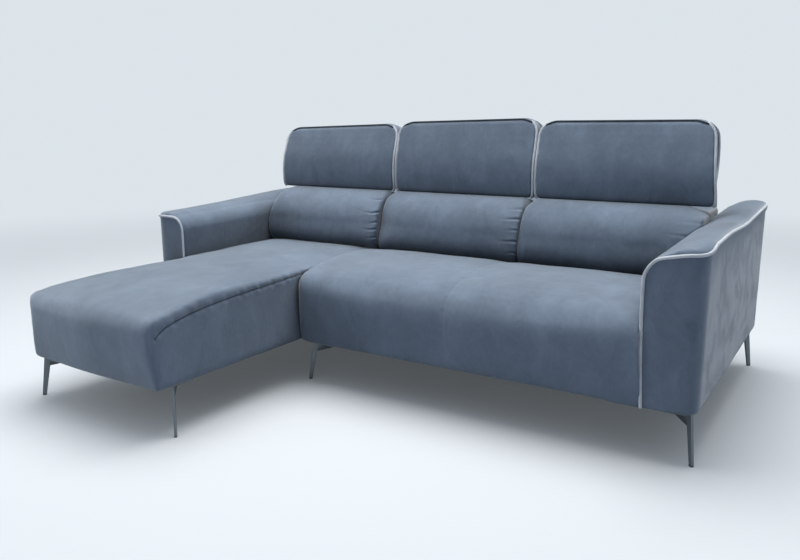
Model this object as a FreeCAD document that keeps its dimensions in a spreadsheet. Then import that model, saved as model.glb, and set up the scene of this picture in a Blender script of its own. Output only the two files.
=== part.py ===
"""Modular corner sofa: a chaise module with the left arm and a two-seat bench module with the right arm.

Three head cushions stand on the deep back and fold onto it, each on two ratchet hinges.
+X points right as seen from the front of the sofa, +Y points to its back, and +Z is up.
The origin is on the floor under the centre of the bounding box. All sizes are in millimetres.
"""
import FreeCAD
import Part
import Sketcher
import math
import os

os.makedirs("parts", exist_ok=True)
doc = FreeCAD.newDocument("corner_sofa")
Vector = FreeCAD.Vector


# Driving sizes
DRIVING_SIZES = [
    # whole sofa
    ("chaise_module_width", 712, "outer face of the left arm to the joint between the modules"),
    ("bench_module_width", 1336, "joint between the modules to the outer face of the right arm"),
    ("overall_depth", 1700, "front of the chaise to the rear face"),
    ("underside_height", 153, "floor to the underside of the upholstery"),
    ("crown_height", 440, "floor to the highest line of the seats"),
    ("seat_rear_height", 412, "floor to the seat under the lumbar cushions"),
    ("shelf_height", 600, "floor to the top of the back"),
    ("headrest_top_height", 916, "floor to the top of a raised headrest"),
    ("soft_gap", 0.5, "clearance between soft bodies that lie side by side"),
    ("rest_gap", 0.3, "clearance between a soft body and what it rests on"),
    ("cover_thickness", 2, "velvet with its backing"),
    ("cut_overrun", 5, "how far a cutting solid reaches past what it cuts"),
    # seats
    ("bench_seat_depth", 680, "bench front to the face of the back"),
    ("lumbar_line", 160, "front of the flat rear strip of a seat to the face of the back"),
    ("front_tuck", 20, "how far a front pulls in at its bottom"),
    ("front_bulge_rise", 175, "underside to the fullest line of a front"),
    ("chaise_nose_height", 376, "floor to the end of the rounding over the chaise front"),
    ("chaise_nose_setback", 50, "chaise front to the end of its rounding"),
    ("bench_nose_height", 408, "floor to the end of the rounding over the bench front"),
    ("bench_nose_setback", 66, "bench front to the end of its rounding"),
    ("chaise_crown_setback", 590, "chaise front to its highest line"),
    ("bench_crown_setback", 290, "bench front to its highest line"),
    ("chaise_side_inset", 26, "outer face of the left arm to the side of the chaise"),
    ("chaise_corner_radius", 95, "upright outer front corner of the chaise"),
    ("chaise_inner_corner_radius", 34, "upright front corner of the chaise beside the bench"),
    ("bench_corner_radius", 30, "upright front corner of the bench beside the chaise"),
    ("side_nose_height", 388, "floor to the end of the rounding over the open chaise side"),
    ("side_nose_setback", 46, "open chaise side to the end of its rounding"),
    ("seam_height", 406, "floor to the seam along the top of the chaise beside the bench"),
    ("joint_tuck_radius", 22, "bottom edge beside the other module"),
    # seat frames
    ("frame_inset", 24, "side of a seat to the outer face of its frame"),
    ("frame_front_inset", 66, "front of a seat to the outer face of its frame"),
    ("open_side_frame_inset", 52, "open chaise side to the outer face of its frame"),
    ("rail_height", 95, "height of a base rail"),
    ("rail_thickness", 25, "thickness of a rail"),
    ("strap_width", 60, "width of an elastic strap"),
    ("strap_thickness", 1.5, "thickness of an elastic strap"),
    ("strap_pitch", 125, "distance between neighbouring straps"),
    ("hem_width", 70, "cover turned under and stapled round the edge of the underside"),
    # arms
    ("arm_length", 1060, "front face to rear face of an arm"),
    ("arm_width", 161, "width of an arm where it is widest"),
    ("arm_base_width", 147, "width of an arm at the underside"),
    ("arm_crest_height", 617, "floor to the highest line of an arm at its rear"),
    ("arm_edge_height", 611, "floor to the outer top edge of an arm at its rear"),
    ("arm_side_height", 537, "floor to the top of the inner side of an arm at its rear"),
    ("arm_shoulder_radius", 58, "rounding from the inner side of an arm to its top"),
    ("arm_corner_radius", 50, "upright outer front corner of an arm"),
    ("arm_rear_radius", 25, "upright outer rear corner of an arm"),
    ("arm_padding", 20, "foam on the sides of an arm"),
    ("arm_top_padding", 45, "foam on the top of an arm"),
    ("piping_radius", 3, "radius of a piping cord"),
    ("piping_inset", 5, "edge of a panel to the middle line of its piping"),
    # back
    ("back_depth", 400, "face of the back to the rear face"),
    ("back_edge_radius", 25, "top edges of the back"),
    ("back_tuck_radius", 16, "bottom rear edge of the back"),
    ("back_padding", 25, "foam on the face, rear and top of the back"),
    ("panel_thickness", 18, "upright plywood panels of a back frame"),
    ("panel_window_margin", 70, "wood left round the opening of a panel"),
    ("back_rail_height", 70, "height of a rail in a back frame"),
    # lumbar cushions
    ("lumbar_bulge", 32, "how far a lumbar cushion swells forward of its bottom edge"),
    ("lumbar_bulge_rise", 90, "bottom of a lumbar cushion to its fullest line"),
    ("lumbar_height", 226, "height of a lumbar cushion"),
    ("lumbar_depth", 150, "bottom depth of a lumbar cushion"),
    ("lumbar_top_depth", 72, "depth of a lumbar cushion at its top"),
    ("lumbar_corner_radius", 42, "corners of a lumbar cushion seen from the front"),
    # headrests
    ("headrest_outer_inset", 120, "outer face of an arm to the end of the nearest headrest"),
    ("headrest_bottom_height", 643, "floor to the bottom of a raised headrest"),
    ("headrest_setforward", 28, "face of the back to the bottom front edge of a headrest"),
    ("headrest_lean", 10, "how far the front leans back from bottom to top"),
    ("headrest_swell", 8, "how far the front swells"),
    ("headrest_foot_depth", 30, "depth of a headrest at its bottom"),
    ("headrest_depth", 122, "depth of a headrest where it is fullest"),
    ("headrest_top_depth", 75, "depth of a headrest near its top"),
    ("headrest_shoulder", 14, "top of a headrest to its front and rear top edges"),
    ("headrest_bulge_rise", 142, "bottom of a headrest to its fullest line"),
    ("headrest_corner_radius", 55, "top corners of a headrest seen from the front"),
    ("headrest_foot_radius", 30, "bottom corners of a headrest seen from the front"),
    ("headrest_gap", 3, "clearance between the piping of neighbouring headrests"),
    ("board_thickness", 12, "plywood board in a headrest"),
    ("board_setback", 25, "bottom front edge of a headrest to its board"),
    ("board_margin", 34, "outline of a headrest to the edge of its board"),
    # ratchet hinges
    ("pivot_rise", 28, "top of the back to the pivot"),
    ("pivot_setback", 15, "face of the back to the pivot"),
    ("hinge_spacing", 330, "distance between the two hinges of a headrest"),
    ("pin_radius", 4, "pivot pin"),
    ("pin_clearance", 0.1, "radial running clearance of the pivot pin"),
    ("pin_head_radius", 6.5, "riveted heads of the pivot pin"),
    ("pin_head_height", 1.5, "riveted heads of the pivot pin"),
    ("cheek_radius", 11, "pivot to the edges of a cheek"),
    ("cheek_thickness", 3, "hinge plate"),
    ("cheek_reach", 123, "pivot to the foot of a cheek"),
    ("arm_web_thickness", 6, "moving hinge arm between the cheeks"),
    ("arm_side_clearance", 0.5, "moving hinge arm to a cheek"),
    ("hub_radius", 11, "plain hub of the moving arm"),
    ("ratchet_radius", 16, "tips of the ratchet teeth"),
    ("tooth_depth", 2.4, "height of a ratchet tooth"),
    ("flange_width", 44, "screwed flange of the hinge plate"),
    ("arm_flange_width", 36, "screwed flange of the moving arm"),
    ("arm_flange_height", 120, "screwed flange of the moving arm"),
    ("arm_web_depth", 14, "depth of the moving arm's web at the flange"),
    ("arm_flange_rise", 47, "pivot to the foot of the moving arm's flange"),
    ("pawl_gap", 0.3, "pawl to the tips of the teeth"),
    ("pawl_thickness", 2.2, "spring strip of the pawl"),
    ("pawl_length", 88, "spring strip of the pawl"),
    ("slot_clearance", 1.5, "slot in cover and foam round a hinge piece"),
    # legs
    ("leg_wing", 75, "length of a leg's gusset wings under the plate"),
    ("leg_plate_arm", 78, "side of the mounting plate of a leg"),
    ("leg_plate_waist", 40, "side of the plate that its cut inner corner leaves"),
    ("leg_plate_thickness", 3, "mounting plate of a leg"),
    ("leg_skin", 2.5, "sheet of the folded leg blade"),
    ("leg_thickness", 8, "folded blade across its fold"),
    ("leg_root_width", 22, "depth of the blade under the plate"),
    ("leg_toe_width", 12, "depth of the blade at the toe"),
    ("leg_root_drop", 30, "plate to the lower end of the wings"),
    ("leg_splay", 14, "how far the toe stands out from the plate in each direction"),
    ("glide_height", 4, "glide under the toe"),
    ("toe_inset", 6, "side of the module to the outer corner of the toe"),
    ("toe_front_setback", 40, "front of an arm to the toe under it"),
    ("toe_rear_setback", 8, "rear face to the rear toes"),
    ("chaise_toe_setback", 72, "front of the chaise to its front toes"),
    ("chaise_toe_inset", 30, "outer face of the left arm to the outer front toe of the chaise"),
    ("chaise_joint_toe_inset", 8, "joint between the modules to the inner front toe of the chaise"),
    ("bench_toe_overhang", 4, "joint between the modules to the bench toe beyond it"),
    ("bench_toe_setback", 66, "bench front to its front toe"),
    ("rear_joint_toe_inset", 26, "joint between the modules to the rear toes beside it"),
    ("screw_radius", 2.5, "shank of a leg screw"),
    ("screw_head_radius", 5, "head of a leg screw"),
    ("screw_head_height", 2.5, "head of a leg screw"),
    ("screw_length", 32, "leg screw below its head"),
    ("screw_near", 30, "plate corner to a screw, across its wing"),
    ("screw_far", 64, "plate corner to a screw, along its wing"),
    ("leg_block_start", 27, "plate corner to the leg block"),
    ("leg_block_size", 70, "side of a leg block"),
    ("leg_block_height", 60, "height of a leg block"),
    # connectors between the modules
    ("connector_plate_length", 70, "plate of a connector along the joint"),
    ("connector_plate_width", 55, "plate of a connector across the joint"),
    ("connector_plate_thickness", 2.5, "plate of a connector"),
    ("connector_tongue_length", 48, "how far the tongue reaches past the joint"),
    ("connector_tongue_width", 34, "tongue where it leaves its plate"),
    ("connector_tip_width", 22, "tongue at its tip"),
    ("connector_clearance", 0.4, "tongue to its bridge"),
    ("bridge_length", 10, "bridge along the tongue"),
    ("connector_setback", 250, "bench front to the middle of the first connector"),
    ("connector_spread", 400, "distance between the two connectors"),
]

# Counts, angles and shares
TOOTH_COUNT = 10
ARM_POST_COUNT = 4
CHAISE_CROSS_RAIL_COUNT = 4
BENCH_CROSS_RAIL_COUNT = 3
FULL_TURN_ANGLE = 360
TOOTH_PITCH_ANGLE = 6.5
FIRST_TOOTH_ANGLE = 100
PAWL_ANGLE = 168
SHOULDER_SLOPE_ANGLE = 12
ARM_SLOPE_ANGLE = 1.6
LEAN_AT_MIDDLE_SHARE = 0.25
SIGNS = {"left": -1, "right": 1}
HALF = 0.5
DIAGONAL_SHARE = math.sqrt(HALF)
DIAGONAL_ANGLE = -45
LEG_WING_ANGLE = 9
LEG_GUSSET_SHARES = [(0.0, 1.0), (0.6, 0.3), (0.85, 0.08), (1.0, 0.0)]
CORD_SIDES = 6
SCREW_SIDES = 6
RIVET_SIDES = 8


class Size:
    """A length that carries its value together with the sheet formula that gives it."""

    def __init__(self, value, formula):
        self.value = float(value)
        self.formula = formula

    def __add__(self, other):
        other = as_size(other)
        return Size(self.value + other.value, f"({self.formula} + {other.formula})")

    def __sub__(self, other):
        other = as_size(other)
        return Size(self.value - other.value, f"({self.formula} - {other.formula})")

    def __mul__(self, share):
        return Size(self.value * share, f"({self.formula} * {share:.9g})")

    def __neg__(self):
        return self * -1

    __rmul__ = __mul__

    def __truediv__(self, share):
        return self * (1.0 / share)


def as_size(length):
    """Take a Size as it is, and a plain zero as a Size."""
    return length if isinstance(length, Size) else Size(length, f"{length:g}")


class SizeSheet:
    """The spreadsheet of driving sizes; each alias reads as a Size."""

    def __init__(self, rows):
        self.cells = doc.addObject("Spreadsheet::Sheet", "Sizes")
        self.values = {}
        for row, (alias, value, meaning) in enumerate(rows, start=1):
            self.cells.set(f"A{row}", alias)
            self.cells.set(f"B{row}", str(value))
            self.cells.set(f"C{row}", meaning)
            self.cells.setAlias(f"B{row}", alias)
            self.values[alias] = value
        doc.recompute()

    def __getattr__(self, alias):
        return Size(float(self.cells.get(alias)), f"Sizes.{alias}")


S = SizeSheet(DRIVING_SIZES)
NODES = []


# Building blocks
def bind(thing, field, length):
    """Tie one property of an object to its formula in the sheet."""
    thing.setExpression(field, as_size(length).formula)


def node(name, thing):
    """Make an object a sub-part: its label names the file."""
    thing.Label = name
    NODES.append(thing)
    return thing


def box(name, low, high):
    """A block between two corners."""
    block = doc.addObject("Part::Box", name)
    for field, start, end in zip(("Length", "Width", "Height"), low, high):
        bind(block, field, as_size(end) - start)
    for field, start in zip("xyz", low):
        bind(block, f"Placement.Base.{field}", start)
    return block


def cylinder(name, start, radius, length, along):
    """A round bar from a start point, along x or z."""
    bar = doc.addObject("Part::Cylinder", name)
    bind(bar, "Radius", radius)
    bind(bar, "Height", length)
    if along == "x":
        bar.Placement.Rotation = FreeCAD.Rotation(Vector(0, 1, 0), 90)
    for field, place in zip("xyz", start):
        bind(bar, f"Placement.Base.{field}", place)
    return bar


def facetted_bar(name, start, radius, length, along, sides):
    """A bar with flat sides from a start point, along x or z."""
    bar = doc.addObject("Part::Prism", name)
    bar.Polygon = sides
    bind(bar, "Circumradius", radius)
    bind(bar, "Height", length)
    if along == "x":
        bar.Placement.Rotation = FreeCAD.Rotation(Vector(0, 1, 0), 90)
    for field, place in zip("xyz", start):
        bind(bar, f"Placement.Base.{field}", place)
    return bar


def taper(name, low_height, low_plan, high_height, high_plan):
    """A block between two level rectangles, each given by two opposite corners in plan."""
    block = doc.addObject("Part::Wedge", name)
    block.Placement.Rotation = FreeCAD.Rotation(Vector(1, 0, 0), 90)
    for field, length in (
            ("Ymin", low_height), ("Ymax", high_height),
            ("Xmin", low_plan[0][0]), ("Xmax", low_plan[1][0]),
            ("Zmin", -low_plan[1][1]), ("Zmax", -low_plan[0][1]),
            ("X2min", high_plan[0][0]), ("X2max", high_plan[1][0]),
            ("Z2min", -high_plan[1][1]), ("Z2max", -high_plan[0][1])):
        bind(block, field, length)
    return block


def cut(name, base, tools):
    """One solid less one or more others."""
    result = doc.addObject("Part::Cut", name)
    result.Base = base
    result.Tool = tools[0] if len(tools) == 1 else group(name + "_tools", tools)
    return result


def fuse(name, solids):
    """Several solids grown into one."""
    result = doc.addObject("Part::MultiFuse", name)
    result.Shapes = solids
    result.Refine = True
    return result


def common(name, solids):
    """The space that several solids share."""
    result = doc.addObject("Part::MultiCommon", name)
    result.Shapes = solids
    return result


def group(name, solids):
    """Separate solids kept together."""
    result = doc.addObject("Part::Compound", name)
    result.Links = solids
    return result


PLANE_ROLES = {"x": "YZ_Plane", "y": "XZ_Plane", "z": "XY_Plane"}


def across(body, name, axis, height):
    """An empty sketch across an axis of the body, at a height along it."""
    sketch = body.newObject("Sketcher::SketchObject", name)
    plane = [one for one in body.Origin.OriginFeatures if one.Role == PLANE_ROLES[axis]][0]
    sketch.AttachmentSupport = [(plane, "")]
    sketch.MapMode = "FlatFace"
    bind(sketch, "AttachmentOffset.Base.z", -as_size(height) if axis == "y" else height)
    sketch.Visibility = False
    return sketch


def flat_point(point):
    """A pair of lengths as a point of a sketch."""
    return Vector(as_size(point[0]).value, as_size(point[1]).value, 0)


def pin(sketch, geometry, position, point):
    """Tie a vertex of a sketch to its two lengths from the origin."""
    for kind, length in zip(("DistanceX", "DistanceY"), point):
        length = as_size(length)
        place = sketch.addConstraint(
            Sketcher.Constraint(kind, -1, 1, geometry, position, length.value))
        sketch.setExpression(f"Constraints[{place}]", length.formula)


def draw_sketch(body, name, axis, height, outline, closed=True):
    """Draw an outline of lines and three-point arcs across an axis of the body.

    The outline is a list of steps: a step is an end point, or a through point and an end point.
    A closed outline begins at the end of its last step, an open one at its first point.
    """
    sketch = across(body, name, axis, height)
    first = 0 if closed else 1
    count = len(outline)
    ends = [step[-1] for step in outline]
    flat = [flat_point(end) for end in ends]
    for number in range(first, count):
        if len(outline[number]) == 1:
            sketch.addGeometry(Part.LineSegment(flat[number - 1], flat[number]), False)
        else:
            through = flat_point(outline[number][0])
            sketch.addGeometry(Part.Arc(flat[number - 1], through, flat[number]), False)

    def vertex(number, at_end):
        """Sketch reference of the end or begin of a step; arcs may be stored end first."""
        wanted = flat[number] if at_end else flat[number - 1]
        one = sketch.getPoint(number - first, 1)
        other = sketch.getPoint(number - first, 2)
        return 1 if (one - wanted).Length <= (other - wanted).Length else 2

    if not closed:
        pin(sketch, 0, vertex(1, False), ends[0])
    for number in range(first, count):
        following = (number + 1) % count
        if closed or following:
            sketch.addConstraint(Sketcher.Constraint(
                "Coincident", number - first, vertex(number, True),
                following - first, vertex(following, False)))
        pin(sketch, number - first, vertex(number, True), ends[number])
    for number, step in enumerate(outline):
        if len(step) == 2:
            mark = sketch.addGeometry(Part.Point(flat_point(step[0])), True)
            sketch.addConstraint(Sketcher.Constraint("PointOnObject", mark, 1, number - first))
            pin(sketch, mark, 1, step[0])
    return sketch


def prism(name, axis, outline, low, high):
    """A body with an outline drawn across an axis and padded from low to high along it."""
    body = doc.addObject("PartDesign::Body", name)
    sketch = draw_sketch(body, name + "_outline", axis, high if axis == "y" else low, outline)
    pad = body.newObject("PartDesign::Pad", name + "_pad")
    pad.Profile = sketch
    bind(pad, "Length", as_size(high) - low)
    return body


def cord(name, axis, height, path, radius, tilt=0):
    """A body with a six-sided cord swept along an open path drawn across an axis.

    Across z the plane of the path can be tilted, so that it rises towards the rear.
    """
    body = doc.addObject("PartDesign::Body", name)
    spine = draw_sketch(body, name + "_path", axis, height, path, closed=False)
    spine.AttachmentOffset = FreeCAD.Placement(
        spine.AttachmentOffset.Base, FreeCAD.Rotation(Vector(1, 0, 0), tilt))
    section = body.newObject("Sketcher::SketchObject", name + "_section")
    section.AttachmentSupport = [(spine, "Edge1")]
    section.MapMode = "NormalToEdge"
    section.Visibility = False
    corners = [(radius * math.cos(turn), radius * math.sin(turn))
               for turn in (math.radians(360 * side / CORD_SIDES) for side in range(CORD_SIDES))]
    for number, corner in enumerate(corners):
        section.addGeometry(Part.LineSegment(flat_point(corners[number - 1]), flat_point(corner)), False)
    for number, corner in enumerate(corners):
        section.addConstraint(Sketcher.Constraint("Coincident", number, 2, (number + 1) % CORD_SIDES, 1))
        pin(section, number, 2, corner)
    pipe = body.newObject("PartDesign::AdditivePipe", name + "_pipe")
    pipe.Profile = section
    pipe.Spine = (spine, [f"Edge{number + 1}" for number in range(len(path) - 1)])
    return body


def rounded_outline(low, high, radii, plain=False):
    """Steps of a rectangle with four corner radii: low-low, high-low, high-high, low-high.

    Plain corners have two short sides in place of the arc.
    """
    corners = [
        (low[0], low[1], 1, 1), (high[0], low[1], -1, 1),
        (high[0], high[1], -1, -1), (low[0], high[1], 1, -1),
    ]
    steps = []
    for number, (p, q, inward_p, inward_q) in enumerate(corners):
        radius = radii[number]
        if radius is None:
            steps.append([(p, q)])
            continue
        rest = radius * (1 - DIAGONAL_SHARE)
        beside_p = (p + radius * inward_p, q)
        beside_q = (p, q + radius * inward_q)
        through = (p + rest * inward_p, q + rest * inward_q)
        first, last = (beside_q, beside_p) if number % 2 == 0 else (beside_p, beside_q)
        steps.append([first])
        steps += [[through], [last]] if plain else [[through, last]]
    return steps


# Main planes, worked out from the driving sizes
half_width = (S.chaise_module_width + S.bench_module_width) * HALF
outer = {"left": -half_width, "right": half_width}
joint_plane = -half_width + S.chaise_module_width
rear_plane = S.overall_depth * HALF
chaise_front = -rear_plane
back_face = rear_plane - S.back_depth
bench_front = back_face - S.bench_seat_depth
arm_front = rear_plane - S.arm_length
lumbar_front = back_face - S.lumbar_line
underside = S.underside_height
arm_rise = S.arm_length * math.sin(math.radians(ARM_SLOPE_ANGLE))
arm_inner = {"left": outer["left"] + S.arm_width, "right": outer["right"] - S.arm_width}
seat_left_limit = arm_inner["left"] + S.soft_gap
seat_right_limit = arm_inner["right"] - S.soft_gap
chaise_right = joint_plane - S.soft_gap * HALF
bench_left = joint_plane + S.soft_gap * HALF


# Seats
def rounding(start, end):
    """Middle of a rounding that leaves start upright and arrives at end nearly level."""
    return (start[0] + (end[0] - start[0]) * (1 - DIAGONAL_SHARE),
            start[1] + (end[1] - start[1]) * DIAGONAL_SHARE)


def padded_side(place, direction, inset):
    """Foot, middle and fullest point of an open side that leans out towards its fullest line."""
    foot = (place + (S.front_tuck + inset) * direction, underside + inset)
    full = (place + inset * direction, underside + S.front_bulge_rise)
    middle = (full[0] + (foot[0] - full[0]) * LEAN_AT_MIDDLE_SHARE, (foot[1] + full[1]) * HALF)
    return foot, middle, full


def seat_side_outline(front, nose, crown_setback, inset):
    """Side view of a seat: padded front, rounded nose, gentle crown, flat strip under the lumbar cushions."""
    foot, middle, full = padded_side(front, 1, inset)
    nose_end = (front + nose[0], nose[1] - inset)
    return [
        [foot],
        [middle, full],
        [rounding(full, nose_end), nose_end],
        [(front + crown_setback, S.crown_height - inset), (lumbar_front, S.seat_rear_height - inset)],
        [(back_face - inset, S.seat_rear_height - inset)],
        [(back_face - inset, underside + inset)],
    ]


def chaise_form(name, inset):
    """The chaise seat, full width before the arm and narrower beside it."""
    left = outer["left"] + S.chaise_side_inset
    right = chaise_right - inset
    front = chaise_front + inset
    tuck = S.joint_tuck_radius - inset
    notch = arm_front - S.piping_radius * 2 - S.soft_gap - inset
    nose = (S.chaise_nose_setback, S.chaise_nose_height)
    side_view = prism(name + "_side", "x",
                      seat_side_outline(chaise_front, nose, S.chaise_crown_setback, inset),
                      left + inset, right)
    foot, middle, full = padded_side(left, 1, inset)
    nose_end = (left + S.side_nose_setback, S.side_nose_height - inset)
    seam = (right, S.seam_height - inset)
    rest = tuck * (1 - DIAGONAL_SHARE)
    front_view = prism(name + "_face", "y", [
        [(right - tuck, foot[1])],
        [(right - rest, foot[1] + rest), (right, foot[1] + tuck)],
        [seam],
        [((seam[0] + nose_end[0]) * HALF, S.crown_height - inset), nose_end],
        [rounding(full, nose_end), full],
        [middle, foot],
    ], front, back_face - inset)
    plan = rounded_outline((left + inset, front), (right, back_face - inset),
                           [S.chaise_corner_radius - inset, S.chaise_inner_corner_radius - inset,
                            None, None], inset.value > 0)
    plan[-1:] = [
        [(seat_left_limit + inset, back_face - inset)],
        [(seat_left_limit + inset, notch)],
        [(left + inset, notch)],
    ]
    plan_view = prism(name + "_plan", "z", plan, underside + inset, S.crown_height - inset)
    return common(name, [side_view, front_view, plan_view])


def bench_form(name, inset):
    """The two-seat bench, rounded beside the chaise and square against the arm."""
    left = bench_left + inset
    right = seat_right_limit - inset
    nose = (S.bench_nose_setback, S.bench_nose_height)
    side_view = prism(name + "_side", "x",
                      seat_side_outline(bench_front, nose, S.bench_crown_setback, inset), left, right)
    front_view = prism(
        name + "_face", "y",
        rounded_outline((left, underside + inset), (right, S.crown_height - inset),
                        [S.joint_tuck_radius - inset, None, None, S.bench_corner_radius - inset],
                        inset.value > 0),
        bench_front + inset, back_face - inset)
    plan_view = prism(
        name + "_plan", "z",
        rounded_outline((left, bench_front + inset), (right, back_face - inset),
                        [S.bench_corner_radius - inset, None, None, None], inset.value > 0),
        underside + inset, S.crown_height - inset)
    return common(name, [side_view, front_view, plan_view])


def crossing_straps(name, low, high, top):
    """Straps across the frame with straps along it lying on them."""
    straps = []
    for layer, (along, across) in enumerate(((0, 1), (1, 0))):
        span = high[across] - low[across]
        count = int((span.value - S.strap_width.value) // S.strap_pitch.value)
        first = low[across] + (span - S.strap_pitch * (count - 1) - S.strap_width) * HALF
        base = top + S.strap_thickness * layer
        for number in range(count):
            start = [None, None, base]
            end = [None, None, base + S.strap_thickness]
            start[along], end[along] = low[along], high[along]
            start[across] = first + S.strap_pitch * number
            end[across] = start[across] + S.strap_width
            straps.append(box(f"{name}_{layer}_{number}", start, end))
    return node(name, group(name, straps))


base_floor = underside + S.cover_thickness
base_top = base_floor + S.rail_height


def base_frame(name, low, high, cross_count, extra_rails):
    """Two long rails, two end rails between them, and cross rails let in between the long rails."""
    floor, top = base_floor, base_top
    thick = S.rail_thickness
    long_rails = [
        box(name + "_rail_a", (low[0], low[1], floor), (low[0] + thick, high[1], top)),
        box(name + "_rail_b", (high[0] - thick, low[1], floor), (high[0], high[1], top)),
    ]
    cross_rails = []
    span = high[1] - low[1] - thick
    for number in range(cross_count):
        start = low[1] + span * (number / (cross_count - 1))
        cross_rails.append(box(f"{name}_cross_{number}", (low[0] + thick, start, floor),
                               (high[0] - thick, start + thick, top)))
    for kind, rails in (("_side_rails", long_rails), ("_cross_rails", cross_rails + extra_rails)):
        node(name + kind, cut(name + kind, group(name + kind + "_whole", rails), [raw_blocks]))


# Legs
blade_top = underside - S.leg_plate_thickness
blade_fall = blade_top - S.glide_height
toe_reach = S.leg_splay / DIAGONAL_SHARE


def leg_corner(side_sign, front_sign, toe_x, toe_y):
    """Plate corner of a leg whose toe stands out towards its own corner of the module."""
    return (toe_x - S.leg_splay * side_sign, toe_y - S.leg_splay * front_sign)


LEGS = {
    "leg_chaise_front_left": leg_corner(
        -1, -1, outer["left"] + S.chaise_toe_inset, chaise_front + S.chaise_toe_setback) + (-1, -1),
    "leg_chaise_front_right": leg_corner(
        1, -1, joint_plane - S.chaise_joint_toe_inset, chaise_front + S.chaise_toe_setback) + (1, -1),
    "leg_chaise_rear_left": leg_corner(
        -1, 1, outer["left"] + S.toe_inset, rear_plane - S.toe_rear_setback) + (-1, 1),
    "leg_chaise_rear_right": leg_corner(
        1, 1, joint_plane - S.rear_joint_toe_inset, rear_plane - S.toe_rear_setback) + (1, 1),
    "leg_bench_front_left": leg_corner(
        -1, -1, joint_plane - S.bench_toe_overhang, bench_front + S.bench_toe_setback) + (-1, -1),
    "leg_bench_front_right": leg_corner(
        1, -1, outer["right"] - S.toe_inset, arm_front + S.toe_front_setback) + (1, -1),
    "leg_bench_rear_left": leg_corner(
        -1, 1, joint_plane + S.rear_joint_toe_inset, rear_plane - S.toe_rear_setback) + (-1, 1),
    "leg_bench_rear_right": leg_corner(
        1, 1, outer["right"] - S.toe_inset, rear_plane - S.toe_rear_setback) + (1, 1),
}
QUARTER_TURNS = {(1, -1): 0, (1, 1): 90, (-1, 1): 180, (-1, -1): 270}


def placed(name, source, place, turn):
    """A copy of a master solid, turned about the upright axis and moved in plan."""
    copy = doc.addObject("Part::Compound", name)
    copy.Links = [source]
    copy.Placement.Rotation = FreeCAD.Rotation(Vector(0, 0, 1), turn)
    bind(copy, "Placement.Base.x", place[0])
    bind(copy, "Placement.Base.y", place[1])
    return copy


def placed(name, source, place, turn):
    """A copy of a master solid, turned about the upright axis and moved in plan."""
    copy = doc.addObject("Part::Compound", name)
    copy.Links = [source]
    copy.Placement.Rotation = FreeCAD.Rotation(Vector(0, 0, 1), turn)
    bind(copy, "Placement.Base.x", place[0])
    bind(copy, "Placement.Base.y", place[1])
    return copy


def leg_level(drop_share, spread_share):
    """Height, outward shift, depth and thickness of the blade at one level of the gusset."""
    fall = blade_top - S.glide_height
    drop = S.leg_root_drop * drop_share
    shift = S.leg_splay * (drop.value / fall.value) / DIAGONAL_SHARE
    depth = S.leg_root_width + (S.leg_wing - S.leg_root_width) * spread_share
    thick = S.leg_thickness + (S.leg_flare - S.leg_thickness) * spread_share
    return blade_top - drop, shift, depth, thick


def blade_section(shift, depth, thick):
    """Plan rectangle that reaches inwards from its outer edge, even about the leg's own axis."""
    return (shift - depth, thick * -HALF), (shift, thick * HALF)


def leg_wing(name, turn):
    """One gusset wing: sheet that runs inwards under the plate and narrows down to the blade."""
    pieces, levels = [], []
    for drop_share, spread_share in LEG_GUSSET_SHARES:
        depth = S.leg_root_width + (S.leg_wing - S.leg_root_width) * spread_share
        shift = S.leg_splay * (drop_share * S.leg_root_drop.value / blade_fall.value) - S.leg_skin
        levels.append((blade_top - S.leg_root_drop * drop_share, blade_section(shift, depth, S.leg_skin)))
    for number, (above, below) in enumerate(zip(levels, levels[1:])):
        pieces.append(taper(f"{name}_{number}", below[0], below[1], above[0], above[1]))
    return placed(name + "_turned", fuse(name, pieces), (as_size(0), as_size(0)), turn)


def leg_master(name):
    """Leg for a right front corner, its plate corner over the origin.

    The blade is sheet folded on its outer edge, which points along the diagonal. Two wings stiffen it.
    """
    arm, waist = S.leg_plate_arm, S.leg_plate_waist
    plate = prism(name + "_plate", "z", [
        [(as_size(0), as_size(0))],
        [(as_size(0), arm)],
        [(-waist, arm)],
        [(-arm, waist)],
        [(-arm, as_size(0))],
    ], blade_top, underside)
    outside = taper(name + "_outside",
                    S.glide_height, blade_section(toe_reach, S.leg_toe_width, S.leg_thickness),
                    blade_top, blade_section(as_size(0), S.leg_root_width, S.leg_thickness))
    gap = S.leg_thickness - S.leg_skin * 2
    inside = taper(name + "_inside",
                   S.glide_height + S.leg_skin, blade_section(toe_reach - S.leg_skin, S.leg_toe_width, gap),
                   blade_top, blade_section(-S.leg_skin, S.leg_root_width, gap))
    blade = placed(name + "_blade_turned", cut(name + "_blade", outside, [inside]),
                   (as_size(0), as_size(0)), DIAGONAL_ANGLE)
    wings = [leg_wing(f"{name}_wing_{number}", DIAGONAL_ANGLE + LEG_WING_ANGLE * sign)
             for number, sign in enumerate((-1, 1))]
    return fuse(name, [plate, blade] + wings)


def leg_screws(name, corner_x, corner_y, side_sign, front_sign):
    """The two screws of one leg, with their heads under the plate."""
    screws = []
    for number, (along_x, along_y) in enumerate(((S.screw_far, S.screw_near), (S.screw_near, S.screw_far))):
        x = corner_x - along_x * side_sign
        y = corner_y - along_y * front_sign
        shank = facetted_bar(f"{name}_shank_{number}", (x, y, blade_top),
                             S.screw_radius, S.screw_length, "z", SCREW_SIDES)
        head = facetted_bar(f"{name}_head_{number}", (x, y, blade_top - S.screw_head_height),
                            S.screw_head_radius, S.screw_head_height, "z", SCREW_SIDES)
        screws.append(fuse(f"{name}_{number}", [shank, head]))
    return screws


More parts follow.
